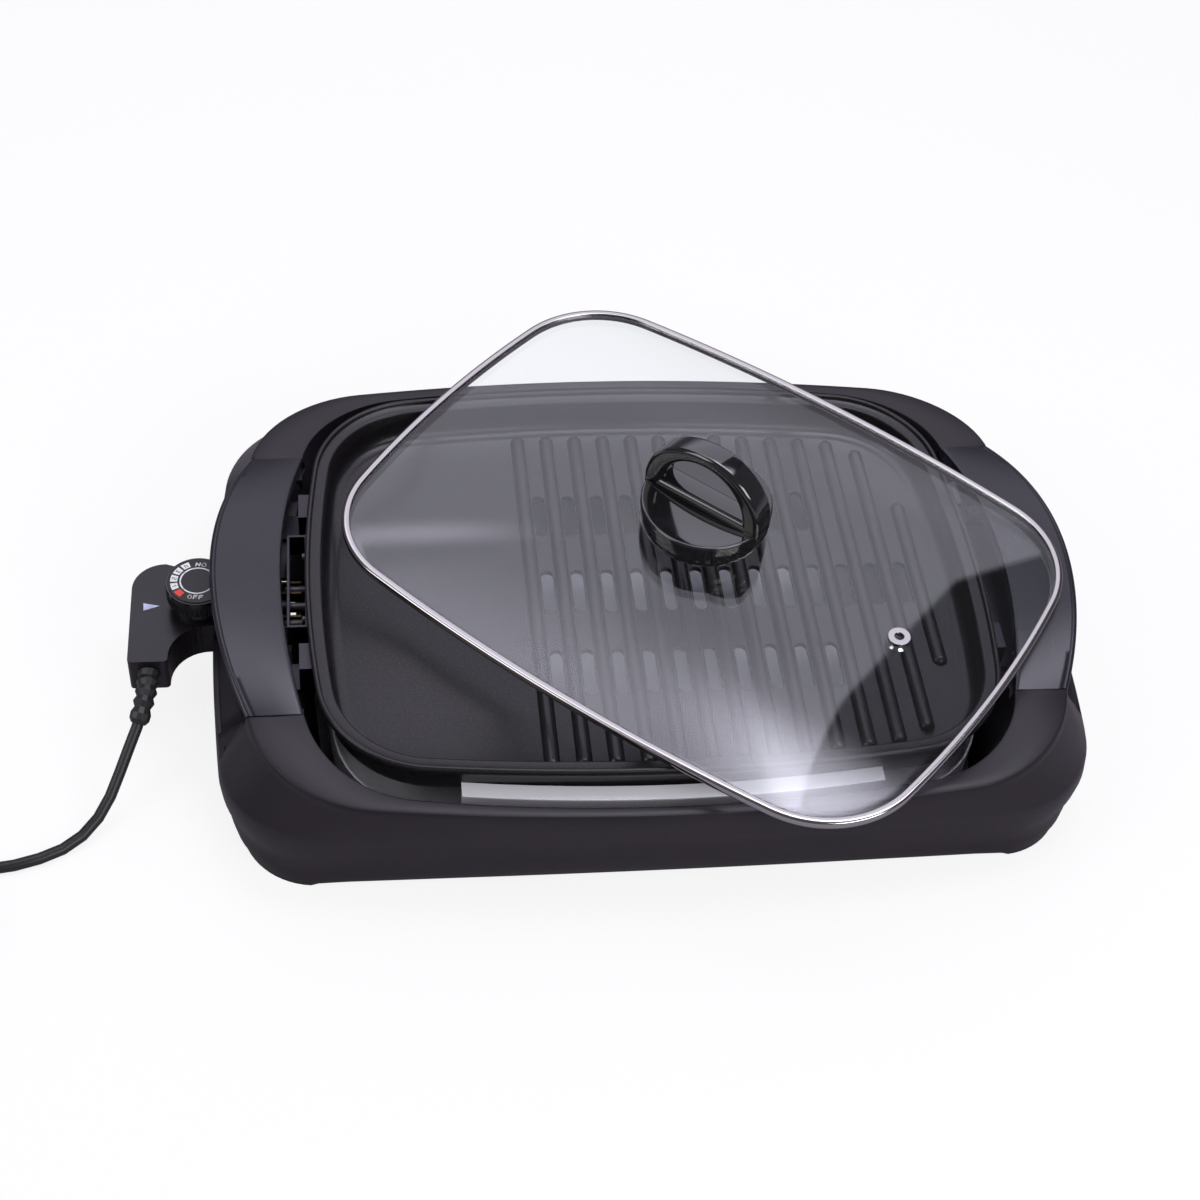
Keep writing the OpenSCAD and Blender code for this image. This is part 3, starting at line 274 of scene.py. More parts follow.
def metal(name, colour, roughness, stretch=(1.0, 1.0, 1.0), streak=0.12, grain=220.0, metallic_share=1.0):
    """Metal with fine marks drawn out along one way. A low metallic share makes its skin dull, so that
    a pale colour shows as painted light, as on the drip tray.
    """
    material, tree = empty_material(name)
    place = make(tree, "ShaderNodeTexCoord", out="Object")
    along = make(tree, "ShaderNodeMapping", place, inputs={"Scale": stretch})
    marks = make(tree, "ShaderNodeTexNoise", inputs={
        "Vector": along, "Scale": grain, "Detail": 5.0})
    soft_edge = make(tree, "ShaderNodeBevel", samples=4, inputs={"Radius": 0.0004})
    bump = make(tree, "ShaderNodeBump", inputs={
        "Strength": 0.12, "Distance": 0.0001, "Height": marks, "Normal": soft_edge})
    surface(tree, make(tree, "ShaderNodeBsdfPrincipled", inputs={
        "Base Color": (*colour, 1.0), "Metallic": metallic_share,
        "Roughness": marks * streak * 2.0 + (roughness - streak), "Normal": bump}))
    return material


nickel = metal("Nickel pins", (0.66, 0.65, 0.63), 0.2, streak=0.08)
coated("plug_pins", nickel)


# The base: one black plastic moulding with a deep well, hollow walls that stand on a thin
# lower edge, a wide rim that dips at the front and back, and low scoops under the handles.
def bowed_quarter(a, b, r, rise, side, corner):
    """A quarter of a rectangle of half sizes a and b: two flat arcs joined by a round corner."""
    long_r = ((a - r) ** 2 + rise ** 2) / (2 * rise)
    rise_b = rise * b / a
    short_r = ((b - r) ** 2 + rise_b ** 2) / (2 * rise_b)
    low, far = b - long_r, a - short_r
    span = sqrt(far ** 2 + low ** 2)
    along = ((long_r - r) ** 2 - (short_r - r) ** 2 + span ** 2) / (2 * span)
    aside = sqrt((long_r - r) ** 2 - along ** 2)
    ux, uy = far / span, -low / span
    mx, my = ux * along - uy * aside, low + uy * along + ux * aside
    if mx + my < ux * along + uy * aside + low + uy * along - ux * aside:
        mx, my = ux * along + uy * aside, low + uy * along - ux * aside
    start, stop = atan2(my, mx - far), atan2(my - low, mx)
    points = [(far + short_r * cos(start * i / side), short_r * sin(start * i / side))
              for i in range(side)]
    points += [(mx + r * cos(start + (stop - start) * i / corner),
                my + r * sin(start + (stop - start) * i / corner)) for i in range(corner)]
    points += [(long_r * cos(stop + (pi / 2 - stop) * i / side),
                low + long_r * sin(stop + (pi / 2 - stop) * i / side)) for i in range(side + 1)]
    return points


def outline(length, width, r, rise, side=12, corner=16):
    """A rectangle with bowed sides and round corners, anticlockwise."""
    q = bowed_quarter(length / 2, width / 2, r, rise, side, corner)
    return (q[:-1] + [(-x, y) for x, y in q[:0:-1]] + [(-x, -y) for x, y in q[:-1]]
            + [(x, -y) for x, y in q[:0:-1]])


def level(points, z):
    return [(x, y, z) for x, y in points]


def lofted(name, rings, move=at, ends=True, joined=False, sharp=32.0):
    """A mesh through rings of equal length, closed at its ends with fans, or ring to ring."""
    n = len(rings[0])
    points = [move(*p) for ring in rings for p in ring]
    faces = []
    for i in range(len(rings) - (0 if joined else 1)):
        k = (i + 1) % len(rings)
        faces += [(i * n + j, i * n + (j + 1) % n, k * n + (j + 1) % n, k * n + j)
                  for j in range(n)]
    if ends and not joined:
        for first, ring in ((0, rings[0]), ((len(rings) - 1) * n, rings[-1])):
            points.append(move(*[sum(p[axis] for p in ring) / n for axis in range(3)]))
            hub = len(points) - 1
            for j in range(n):
                pair = (first + (j + 1) % n, first + j)
                faces.append((hub, *(pair if first == 0 else pair[::-1])))
    return finished(name, points, faces, sharp)


def finished(name, points, faces, sharp=32.0):
    mesh = bpy.data.meshes.new(name)
    mesh.from_pydata([tuple(p) for p in points], [], faces)
    work = bmesh.new()
    work.from_mesh(mesh)
    bmesh.ops.remove_doubles(work, verts=work.verts, dist=1e-7)
    bmesh.ops.recalc_face_normals(work, faces=work.faces)
    work.to_mesh(mesh)
    work.free()
    mesh.shade_smooth()
    mesh.set_sharp_from_angle(angle=radians(sharp))
    piece = bpy.data.objects.new(name, mesh)
    bpy.context.collection.objects.link(piece)
    return piece


def block(low, high, points, faces):
    """Adds a box to lists of points and faces."""
    n = len(points)
    points += [at(x, y, z) for x in (low[0], high[0]) for y in (low[1], high[1])
               for z in (low[2], high[2])]
    faces += [tuple(n + i for i in side) for side in
              ((0, 1, 3, 2), (4, 6, 7, 5), (0, 4, 5, 1), (2, 3, 7, 6), (0, 2, 6, 4), (1, 5, 7, 3))]


def cut(piece, tool, operation):
    """Cuts or joins two closed pieces and leaves a plain mesh."""
    step = piece.modifiers.new("Cut", "BOOLEAN")
    step.operation, step.object, step.solver = operation, tool, "MANIFOLD"
    shape = bpy.data.meshes.new_from_object(
        piece.evaluated_get(bpy.context.evaluated_depsgraph_get()))
    piece.modifiers.remove(step)
    piece.data = shape
    bpy.data.objects.remove(tool)
    return piece


def resharp(piece, sharp=32.0):
    piece.data.shade_smooth()
    piece.data.set_sharp_from_angle(angle=radians(sharp))


rim_z, rim_dip, scoop, scoop_run, handle_half = 82.0, 6.0, 22.0, 20.0, 105.5
rim_len, rim_wid, rim_r, well_len, well_wid, well_r, bow = 512, 367, 83, 445, 352, 74, 10.5
wall, foot_z, floor_in = 3.0, 3.5, 6.5
pad_x, pad_y, pad_fade, pad_drop = 206, 122, 8, 2.9


def rim_height(y):
    y = abs(y)
    if y < handle_half:
        return rim_z - scoop * eased((handle_half - y) / scoop_run)
    return rim_z - rim_dip * eased((y - handle_half) / (rim_wid / 2 - handle_half))


def rim_ring(inset, drop):
    return [(x, y, rim_height(y) - drop)
            for x, y in outline(rim_len - 2 * inset, rim_wid - 2 * inset, rim_r - inset, bow)]


def well_ring(inset, drop):
    return [(x, y, rim_height(y) - drop)
            for x, y in outline(well_len - 2 * inset, well_wid - 2 * inset, well_r - inset, bow)]


def foot_ring():
    """The lower edge, which comes down to the pads at the four corners."""
    return [(x, y, foot_z - pad_drop * eased((abs(x) - pad_x) / pad_fade)
             * eased((abs(y) - pad_y) / pad_fade)) for x, y in outline(510, 344, 46, 1.5)]


def body_ring(z, length, width, r, rise):
    return level(outline(length, width, r, rise), z)


inside = [
    body_ring(foot_z, 427, 334, 65, bow), well_ring(-wall, wall), rim_ring(wall + 1, wall),
    body_ring(53, 534, 359, 62, 9), body_ring(40, 536, 356, 59, 8),
    body_ring(foot_z, 504, 338, 43, 1.5)]
outside = [foot_ring()] + [body_ring(*sizes) for sizes in (
    (5, 513, 346.5, 48, 2.2), (9, 522, 351, 52, 4), (15, 529, 355, 57, 5.7), (22, 534, 358, 62, 7),
    (31, 539.5, 361, 62, 7.7), (40, 541.5, 362, 62, 8), (48, 541.5, 364, 65, 8.6),
    (51.5, 540, 365, 67, 9))]
rolled_edge = [rim_ring(inset, drop) for inset, drop in (
    (-1.2, 7), (-0.4, 3), (0, 1.6), (0.8, 0.5), (2.4, 0))]
well = [well_ring(inset, drop) for inset, drop in ((-2.2, 0), (-0.7, 0.5), (0, 2))]
well.append(body_ring(floor_in, 421, 328, 62, bow))
base = lofted("Base_moulding", inside + outside + rolled_edge + well)
seat_x, seat_y, seat_len, seat_wid, seat_low, seat_top = 229.5, 101.5, 30, 14, 56, 73
for x in (seat_x, -seat_x):
    for y in (seat_y, -seat_y):
        points, faces = [], []
        block((x - seat_len / 2, y - seat_wid / 2, seat_low),
              (x + seat_len / 2, y + seat_wid / 2, seat_top), points, faces)
        cut(base, finished("Seat", points, faces), "UNION")
step_half, step_in, past_end, past_top = handle_half + 0.15, 158, 330, 130
points, faces = [], []
block((step_in, -step_half, seat_top), (past_end, step_half, past_top), points, faces)
block((-past_end, -step_half, seat_top), (-step_in, step_half, past_top), points, faces)
cut(base, finished("Step", points, faces), "DIFFERENCE")
way_half, way_low, way_top = 21, 34, 70
points, faces = [], []
block((-300, -way_half, way_low), (-210, way_half, way_top), points, faces)
cut(base, finished("Way in", points, faces), "DIFFERENCE")
resharp(base)
base_plastic = pebbled("Base plastic", (0.0140, 0.0108, 0.0148), 0.36, grain=1400.0, depth=0.08,
                       shine=0.35)
base.data.materials.clear()
base.data.materials.append(base_plastic)
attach(base, "base")
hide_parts("base_housing")
coated("rubber_feet", pebbled("Pad rubber", (0.02, 0.02, 0.02), 0.7, grain=600.0))


# The side handles: two arched bridges of the same plastic, with a finer gloss, screwed down
# on the seats at both ends and open underneath for the fingers.
end_out, bow_out, arch_out = 248.0, 22.0, 17.0
end_in, bow_in, arch_in = 214.0, 13.4, 12.0


def handle_section(side, y):
    crown = 1 - (y / handle_half) ** 2

    def bowed(end, rise):
        r = (handle_half ** 2 + rise ** 2) / (2 * rise)
        return end + rise - r + sqrt(r * r - y * y)

    out_x, in_x = bowed(end_out, bow_out), bowed(end_in, bow_in)
    out_z, in_z = rim_z + arch_out * crown, rim_z + arch_in * crown
    top = [(out_x - 0.1, out_z - 2.0), (out_x - 0.6, out_z - 0.7), (out_x - 1.9, out_z),
           (out_x - 3.0, out_z - 0.1), (out_x - 3.4, out_z - 0.55), (out_x - 3.9, out_z - 0.15)]
    fall = (out_z - in_z) / (out_x - in_x)
    top += [(out_x - 3.9 - d, out_z - 0.15 - d * fall * 0.94) for d in (3, 9, 15)]
    top += [(in_x + 3.0, in_z + 0.25), (in_x + 1.4, in_z), (in_x + 0.4, in_z - 0.6), (in_x, in_z - 1.8)]
    section = top + [(in_x + 0.3, in_z - 9.0), (out_x - 3.0, out_z - 9.0)]
    return [(side * x, y, z) for x, z in section]


handle_plastic = pebbled("Handle plastic", (0.0135, 0.0125, 0.0190), 0.27, grain=1400.0,
                         depth=0.05, shine=0.45)
for side, name in ((-1, "left_handle"), (1, "right_handle")):
    handle = lofted("Side_handle" + ("_left" if side < 0 else "_right"),
                    [handle_section(side, handle_half * i / 30) for i in range(-30, 31)], sharp=40.0)
    handle.data.materials.append(handle_plastic)
    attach(handle, "base")
    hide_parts(name)
screw_steel = metal("Screw steel", (0.55, 0.55, 0.56), 0.3)
# The plate brackets and the terminal guard are set near black: painted shade for the dark gaps beside
# the plate under the handles.
gap_dark_steel = metal("Blackened steel", (0.055, 0.052, 0.058), 0.38, stretch=(1, 8, 1), streak=0.1)
for node in ("handle_screws", "bracket_screws"):
    coated(node, screw_steel)
coated("plate_brackets", gap_dark_steel)


# The drip tray: pressed aluminium sheet that catches fat below the slots. It lifts out by the
# lips along its front and back edges. Its skin is painted paler and less metallic than bare sheet:
# painted light, since it lies in the shade under the plate and only slivers of it show.
coated("drip_tray", metal("Tray aluminium", (0.88, 0.88, 0.93), 0.55, stretch=(1, 6, 1), streak=0.1,
                          metallic_share=0.1))


# The grill plate: die-cast aluminium with a dark non-stick coating that has fine pale specks.
# Fourteen cast ribs run from front to back, with drain slots between them.
def specked(name, colour, fleck, roughness):
    material, tree = empty_material(name)
    place = make(tree, "ShaderNodeTexCoord", out="Object")
    dots = make(tree, "ShaderNodeTexVoronoi", inputs={"Vector": place, "Scale": 900.0})
    flecks = make(tree, "ShaderNodeValToRGB", dots, ramp=(
        (0.05, (*fleck, 1.0)), (0.34, (*colour, 1.0))))
    orange_peel = make(tree, "ShaderNodeTexNoise", inputs={
        "Vector": place, "Scale": 700.0, "Detail": 2.0})
    cloud = make(tree, "ShaderNodeTexNoise", inputs={"Vector": place, "Scale": 9.0, "Detail": 4.0})
    soft_edge = make(tree, "ShaderNodeBevel", samples=4, inputs={"Radius": 0.0008})
    bump = make(tree, "ShaderNodeBump", inputs={
        "Strength": 0.16, "Distance": 0.00015, "Height": orange_peel, "Normal": soft_edge})
    surface(tree, make(tree, "ShaderNodeBsdfPrincipled", inputs={
        "Base Color": flecks, "Roughness": cloud * 0.1 + (roughness - 0.05),
        "Specular IOR Level": 0.42, "Normal": bump}))
    return material


def grown(name, points, edges, sizes, build, material):
    """Runs a Geometry Nodes tree over points and edges and keeps the result as a plain mesh."""
    mesh = bpy.data.meshes.new(name)
    mesh.from_pydata([tuple(p) for p in points], edges, [])
    piece = bpy.data.objects.new(name, mesh)
    bpy.context.collection.objects.link(piece)
    tree = bpy.data.node_groups.new(name, "GeometryNodeTree")
    tree.interface.new_socket("Shape", in_out="OUTPUT", socket_type="NodeSocketGeometry")
    tree.interface.new_socket("Places", in_out="INPUT", socket_type="NodeSocketGeometry")
    kinds = {float: "NodeSocketFloat", Vector: "NodeSocketVector",
             bpy.types.Object: "NodeSocketObject"}
    sockets = {}
    for label, value in sizes.items():
        sockets[label] = tree.interface.new_socket(
            label, in_out="INPUT", socket_type=kinds[type(value)]).identifier
    given = tree.nodes.new("NodeGroupInput")
    wires = {socket.name: Wire(tree, socket) for socket in given.outputs if socket.name}
    shape = make(tree, "GeometryNodeRealizeInstances", build(tree, wires))
    shape = make(tree, "GeometryNodeSetMaterial", shape, inputs={"Material": material})
    make(tree, "NodeGroupOutput", shape)
    grow = piece.modifiers.new("Grow", "NODES")
    grow.node_group = tree
    for label, value in sizes.items():
        grow[sockets[label]] = value
    piece.data = bpy.data.meshes.new_from_object(
        piece.evaluated_get(bpy.context.evaluated_depsgraph_get()))
    piece.modifiers.remove(grow)
    return piece


plate_coating = specked("Plate coating", (0.0085, 0.0075, 0.0088), (0.045, 0.040, 0.043), 0.3)
plate_len, plate_wid, plate_r, plate_bow = 426, 321.5, 71, 7.6
under_z, lip_z, floor_z = 60.5, 88.7, 64.0
plate_profile = (
    (40, under_z), (9.5, under_z), (7.2, 61.6), (6.5, 64), (6.5, 82.5), (0.8, 82.5), (0, 83.3),
    (0, 87.6), (0.35, 88.35), (1.1, lip_z), (2.0, lip_z), (2.7, 88.35), (3.0, 87.6), (3.05, 86.4),
    (3.5, 86.0), (8.8, 86.0), (9.7, 85.7), (10.15, 84.8), (10.6, 76), (11.2, 70.6), (12.6, 67.2),
    (15.2, 65.1), (19, 64.5), (21.6, 64.35), (22.2, floor_z), (60, floor_z))
plate = lofted("Grill_plate", [
    level(outline(plate_len - 2 * inset, plate_wid - 2 * inset, plate_r - inset, plate_bow, 16, 20), z)
    for inset, z in plate_profile], sharp=50.0)
rib_first, rib_pitch, rib_half = -70.5, 19.22, 139
rib_at = [rib_first + rib_pitch * i for i in range(14)]
rib_ends = [rib_half - short for short in (0, 0, 0, 0, 0, 0, 0, 0.5, 2.5, 4, 5.5, 8.5, 18, 69)]
slot_w, slot_l, row_pitch = 8.0, 36.0, 66
ring = [(slot_w / 2 * cos(radians(a)), slot_w / 2 * sin(radians(a)) + half)
        for half, arc in (((slot_l - slot_w) / 2, range(0, 181, 15)),
                          ((slot_w - slot_l) / 2, range(181, 362, 15))) for a in arc]
# One slot round the frame's own origin, from which the copies are placed.
cutter = lofted("Slot", [[(x - 25, y + 11, z) for x, y in ring] for z in (-10, 10)])


def slots(tree, given):
    return make(tree, "GeometryNodeInstanceOnPoints", given["Places"], inputs={
        "Instance": make(tree, "GeometryNodeObjectInfo", given["Slot"], out="Geometry")})


slot_places = [at(rib_at[i] + rib_pitch / 2, row_pitch * row, floor_z - 2) for row in (-1, 0, 1)
               for i in range(10 if row else 13)]
cut(plate, grown("Slots", slot_places, [], {"Slot": cutter}, slots, plate_coating), "DIFFERENCE")
bpy.data.objects.remove(cutter)
resharp(plate, 50.0)


def ribs(tree, given):
    lines = make(tree, "GeometryNodeSetCurveNormal", make(
        tree, "GeometryNodeMeshToCurve", given["Places"]), mode="Z_UP")
    oval = make(tree, "GeometryNodeTransform", make(
        tree, "GeometryNodeCurvePrimitiveCircle", inputs={"Resolution": 32, "Radius": 1.0}),
        inputs={"Scale": given["Half size"]})
    bars = make(tree, "GeometryNodeCurveToMesh", lines, inputs={"Profile Curve": oval})
    ball = make(tree, "GeometryNodeTransform", make(
        tree, "GeometryNodeMeshUVSphere", 32, 20, 1.0), inputs={"Scale": given["End size"]})
    ends = make(tree, "GeometryNodeInstanceOnPoints", given["Places"], inputs={"Instance": ball})
    both = make(tree, "GeometryNodeJoinGeometry", bars)
    tree.links.new(ends.socket, both.socket.node.inputs[0])
    return both


rib_w, rib_h = 4.8, 4.15
rib_places = [at(x, side * (half - rib_w), floor_z)
              for x, half in zip(rib_at, rib_ends) for side in (-1, 1)]
rib_lines = [(i, i + 1) for i in range(0, len(rib_places), 2)]
rib_bars = grown("Grill_ribs", rib_places, rib_lines, {
    "Half size": Vector((rib_w, rib_h, 1.0)) / 1000,
    "End size": Vector((rib_w, rib_w, rib_h)) / 1000}, ribs, plate_coating)
resharp(rib_bars, 60.0)
for piece in (plate, rib_bars):
    piece.data.materials.clear()
    piece.data.materials.append(plate_coating)
    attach(piece, "plate")
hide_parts("grill_plate")
coated("probe_saddle", plate_coating)
coated("heating_element", metal("Element sheath", (0.20, 0.17, 0.16), 0.45))
coated("terminal_insulators", pebbled("Ceramic", (0.36, 0.34, 0.31), 0.6, grain=500.0))
# The terminal pins, the probe, its collar and the guard screws are set dark: painted shade for the dark
# gap under the left handle.
gap_shade_steel = metal("Oxidised steel", (0.13, 0.125, 0.13), 0.5)
for node in ("terminal_pins", "probe", "probe_collar"):
    coated(node, gap_shade_steel)
coated("dial_shaft", nickel)
coated("terminal_guard", gap_dark_steel)
coated("guard_screws", gap_shade_steel)


# The controller: two black plastic shells screwed together from below, with a probe and two
# contact forks that plug in under the left handle, and a dial on a collar.
shell_plastic = pebbled("Controller plastic", (0.0095, 0.008, 0.0105), 0.28, grain=900.0,
                        depth=0.08, shine=0.4)
coated("controller_lower_housing", shell_plastic)
coated("controller_upper_housing", shell_plastic)
coated("controller_screws", screw_steel)
# The contact brass is set dark: painted shade for the forks' place in the gap under the left handle.
brass = metal("Contact brass", (0.15, 0.115, 0.06), 0.55)
coated("contact_forks", brass)
coated("thermostat_blade", brass)
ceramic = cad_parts["terminal_insulators"].data.materials[0]
coated("thermostat_block", ceramic)
coated("dial_cam", ceramic)


def glassy(name, colour, roughness):
    """Cast plastic with faint flow lines."""
    material, tree = empty_material(name)
    place = make(tree, "ShaderNodeTexCoord", out="Object")
    flow = make(tree, "ShaderNodeTexNoise", inputs={
        "Vector": place, "Scale": 180.0, "Detail": 2.0})
    tint = make(tree, "ShaderNodeValToRGB", flow, ramp=(
        (0.35, (*[0.8 * c for c in colour], 1.0)), (0.65, (*[1.15 * c for c in colour], 1.0))))
    soft_edge = make(tree, "ShaderNodeBevel", samples=4, inputs={"Radius": 0.0002})
    surface(tree, make(tree, "ShaderNodeBsdfPrincipled", inputs={
        "Base Color": tint, "Roughness": flow * 0.08 + roughness, "Coat Weight": 0.4,
        "Normal": soft_edge}))
    return material


coated("indicator_lens", glassy("Indicator lens", (0.40, 0.44, 0.62), 0.1))
coated("indicator_lamp", glassy("Indicator lamp", (0.80, 0.42, 0.24), 0.12))


# The dial: a knurled plastic knob with a flat printed face: a white circle, blocks for the heat
# steps with the last one red, their numbers, and the words ON and OFF on either side of them.
dial_plastic = pebbled("Dial plastic", (0.008, 0.008, 0.009), 0.25, grain=900.0, depth=0.05,
                       edge=0.00025)
coated("dial_collar", dial_plastic)
coated("dial_knob", dial_plastic)
coated("dial_face", pebbled("Dial face", (0.008, 0.008, 0.009), 0.3, grain=900.0, depth=0.1,
                            shine=0.35))
dial_x, dial_r, dial_top, knob_low, set_to = -278.0, 19.2, 83.0, 70.4, 349.0


def on_dial(r, a, z):
    return at(dial_x + r * cos(radians(a + set_to)), r * sin(radians(a + set_to)), z)


def printed(name, shapes, colour, low=0.05, high=0.05):
    """Closed outlines on the dial's face, each a list of (radius, angle), a few hundredths thick."""
    points, faces = [], []
    for shape in shapes:
        first, n = len(points), len(shape)
        points += [on_dial(r, a, dial_top + z) for z in (-low, high) for r, a in shape]
        faces += [tuple(range(first, first + n)), tuple(range(first + n, first + 2 * n))]
        faces += [(first + i, first + (i + 1) % n, first + n + (i + 1) % n, first + n + i)
                  for i in range(n)]
    piece = finished(name, points, faces)
    piece.data.materials.append(pebbled(name, colour, 0.5, grain=700.0, depth=0.05, edge=0.00001))
    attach(piece, "dial")


def arc_block(inner, outer, middle, span, steps=8):
    angles = [middle - span / 2 + span * i / steps for i in range(steps + 1)]
    return [(inner, a) for a in angles] + [(outer, a) for a in angles[::-1]]


letters = {
    "O": [[(0.25, 0), (0, 0.25), (0, 0.75), (0.25, 1), (0.75, 1), (1, 0.75), (1, 0.25), (0.75, 0),
           (0.25, 0)]],
    "N": [[(0, 0), (0, 1), (1, 0), (1, 1)]],
    "F": [[(0, 0), (0, 1), (1, 1)], [(0, 0.52), (0.8, 0.52)]],
    "1": [[(0.2, 0.75), (0.55, 1), (0.55, 0)]],
    "2": [[(0, 1), (1, 1), (1, 0.5), (0, 0.5), (0, 0), (1, 0)]],
    "3": [[(0, 1), (1, 1), (1, 0), (0, 0)], [(0.2, 0.5), (1, 0.5)]],
    "4": [[(0, 1), (0, 0.42), (1, 0.42)], [(1, 1), (1, 0)]]}


def lettered(text, r, middle, width, height, thick):
    """Strokes of a word whose letters stand with their heads towards the dial's middle."""
    shapes = []
    for number, letter in enumerate(text):
        shift = (number - (len(text) - 1) / 2) * (width + 2.2 * thick)
        for line in letters[letter]:
            for (x0, y0), (x1, y1) in zip(line, line[1:]):
                a = Vector(((x0 - 0.5) * width + shift, (y0 - 0.5) * height))
                b = Vector(((x1 - 0.5) * width + shift, (y1 - 0.5) * height))
                along = (b - a).normalized() * thick / 2
                side = Vector((-along.y, along.x))
                corners = (a - along - side, b + along - side, b + along + side, a - along + side)
                shapes.append([(sqrt(c.x ** 2 + (r - c.y) ** 2), middle + degrees(atan2(c.x, r - c.y)))
                               for c in corners])
    return shapes


white, red = (0.72, 0.72, 0.72), (0.70, 0.045, 0.03)
first_step, step_pitch, step_span, step_in_r, step_out_r = 131.5, 25.3, 20, 12.1, 16.4
step_at = [first_step + step_pitch * i for i in range(5)]
steps_printed = [arc_block(step_in_r, step_out_r, a, step_span) for a in step_at]
circle_printed = [arc_block(9.9, 10.8, 5 * i + 2.5, 5, 1) for i in range(72)]
words_printed = (lettered("ON", 13.3, 93, 2.3, 2.7, 0.62)
                 + lettered("OFF", 13.3, 277, 2.0, 2.7, 0.6))
printed("Dial_marks", circle_printed + steps_printed[:4] + words_printed, white)
printed("Dial_red_mark", steps_printed[4:], red)
printed("Dial_numbers", [shape for i in range(4) for shape in
                         lettered(str(4 - i), 14.2, step_at[i], 1.4, 2.3, 0.42)],
        (0.012, 0.012, 0.013), low=0.04, high=0.09)


def ridges(tree, given):
    circle = make(tree, "GeometryNodeMeshCircle", inputs={
        "Vertices": 72, "Radius": given["Ring radius"]})
    bar = make(tree, "GeometryNodeMeshCylinder", inputs={
        "Vertices": 10, "Radius": given["Ridge radius"], "Depth": given["Ridge length"]})
    bars = make(tree, "GeometryNodeInstanceOnPoints", circle, inputs={"Instance": bar})
    return make(tree, "GeometryNodeTransform", bars, inputs={"Translation": given["Middle"]})


ridge_l, ridge_r, ridge_sunk, ridge_lift = 8.0, 0.55, 0.2, 0.3
knurl = grown("Knob_ridges", [], [], {
    "Ring radius": (dial_r - ridge_sunk) / 1000, "Ridge radius": ridge_r / 1000,
    "Ridge length": ridge_l / 1000,
    "Middle": at(dial_x, 0, knob_low + ridge_lift + ridge_l / 2)}, ridges, dial_plastic)
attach(knurl, "dial")


# The lid: a sheet of toughened glass, slumped to a shallow dome, in a rolled steel rim. It
# lies turned across the plate, on the plate's lip and on the right handle.
lid_len, lid_wid, lid_r, lid_bow = 419.8, 315.3, 68, 7.6
lid_middle, lid_turn, lid_lean, lid_tip = Vector((35.0, 11.0, 95.7)), -41.5, 0.5, -1.85
lid_place = (Matrix.Translation(lid_middle)
             @ Euler((radians(lid_lean), radians(lid_tip), 0.0)).to_matrix().to_4x4()
             @ Matrix.Rotation(radians(lid_turn), 4, "Z"))


def on_lid(x, y, z):
    return at(*(lid_place @ Vector((x, y, z))))


def lid_ring(inset, z):
    return level(outline(lid_len - 2 * inset, lid_wid - 2 * inset, lid_r - inset, lid_bow, 16, 20), z)


glass_edge, glass_t, dome_h, dome_share = 1.2, 4.0, 14.5, 0.975
glass_rim = outline(lid_len - 2 * glass_edge, lid_wid - 2 * glass_edge, lid_r, lid_bow, 16, 20)


def glass_ring(share, z):
    rise = dome_h * max(0.0, 1 - (share / dome_share) ** 2)
    return [(x * share, y * share, rise + z) for x, y in glass_rim]


shares = [0.02, 0.06] + [0.1 + 0.05 * i for i in range(17)] + [0.925, 0.95, 0.96, dome_share, 1.0]
glass = lofted("Lid_glass_sheet", [glass_ring(s, -glass_t / 2) for s in shares]
               + [glass_ring(s, glass_t / 2) for s in shares[::-1]], move=on_lid, sharp=50.0)
lid_glass, tree = empty_material("Lid glass")
place = make(tree, "ShaderNodeTexCoord", out="Object")
streaks = make(tree, "ShaderNodeTexNoise", inputs={"Vector": place, "Scale": 6.0, "Detail": 3.0})
slant = make(tree, "ShaderNodeLayerWeight", 0.5, out="Facing")
clear = make(tree, "ShaderNodeBsdfTransparent", (0.955, 0.965, 0.97, 1.0))
sheen = make(tree, "ShaderNodeBsdfGlossy", inputs={
    "Color": (1.0, 1.0, 1.0, 1.0), "Roughness": streaks * 0.03 + 0.01})
mirror_share = slant.math("POWER", slant, 5.0) * 0.95 + 0.052
surface(tree, make(tree, "ShaderNodeMixShader", mirror_share, clear, sheen))
glass.data.materials.append(lid_glass)
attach(glass, "lid")
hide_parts("lid_glass")
band_steel = metal("Rim steel", (0.50, 0.48, 0.475), 0.14, streak=0.05, grain=400.0)
band = lofted("Lid_rim", [lid_ring(inset, z) for inset, z in (
    (0.3, -2.2), (0, -0.9), (0, 0.9), (0.3, 2.2), (1.0, 2.8), (2.2, 3.0), (4.4, 3.0), (5, 2.6),
    (5, 2.1), (1.2, 2.1), (1.2, -2.1), (5, -2.1), (5, -2.6), (4.4, -3.0), (2.2, -3.0),
    (1.0, -2.8))], move=on_lid, joined=True, sharp=60.0)
band.data.materials.append(band_steel)
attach(band, "lid")
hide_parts("lid_band")


# The steam vent: a small steel eyelet, rolled through a hole in the glass. It keeps its CAD
# shape, with the doubled points joined so that the round edges shade smoothly.
vent = bpy.data.objects.new("Steam_vent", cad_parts["vent_grommet"].data.copy())
bpy.context.collection.objects.link(vent)
work = bmesh.new()
work.from_mesh(vent.data)
bmesh.ops.remove_doubles(work, verts=work.verts, dist=2e-6)
bmesh.ops.dissolve_degenerate(work, edges=work.edges, dist=1e-6)
work.to_mesh(vent.data)
work.free()
resharp(vent, 50.0)
vent.data.materials.clear()
vent.data.materials.append(band_steel)
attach(vent, "lid")
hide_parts("vent_grommet")


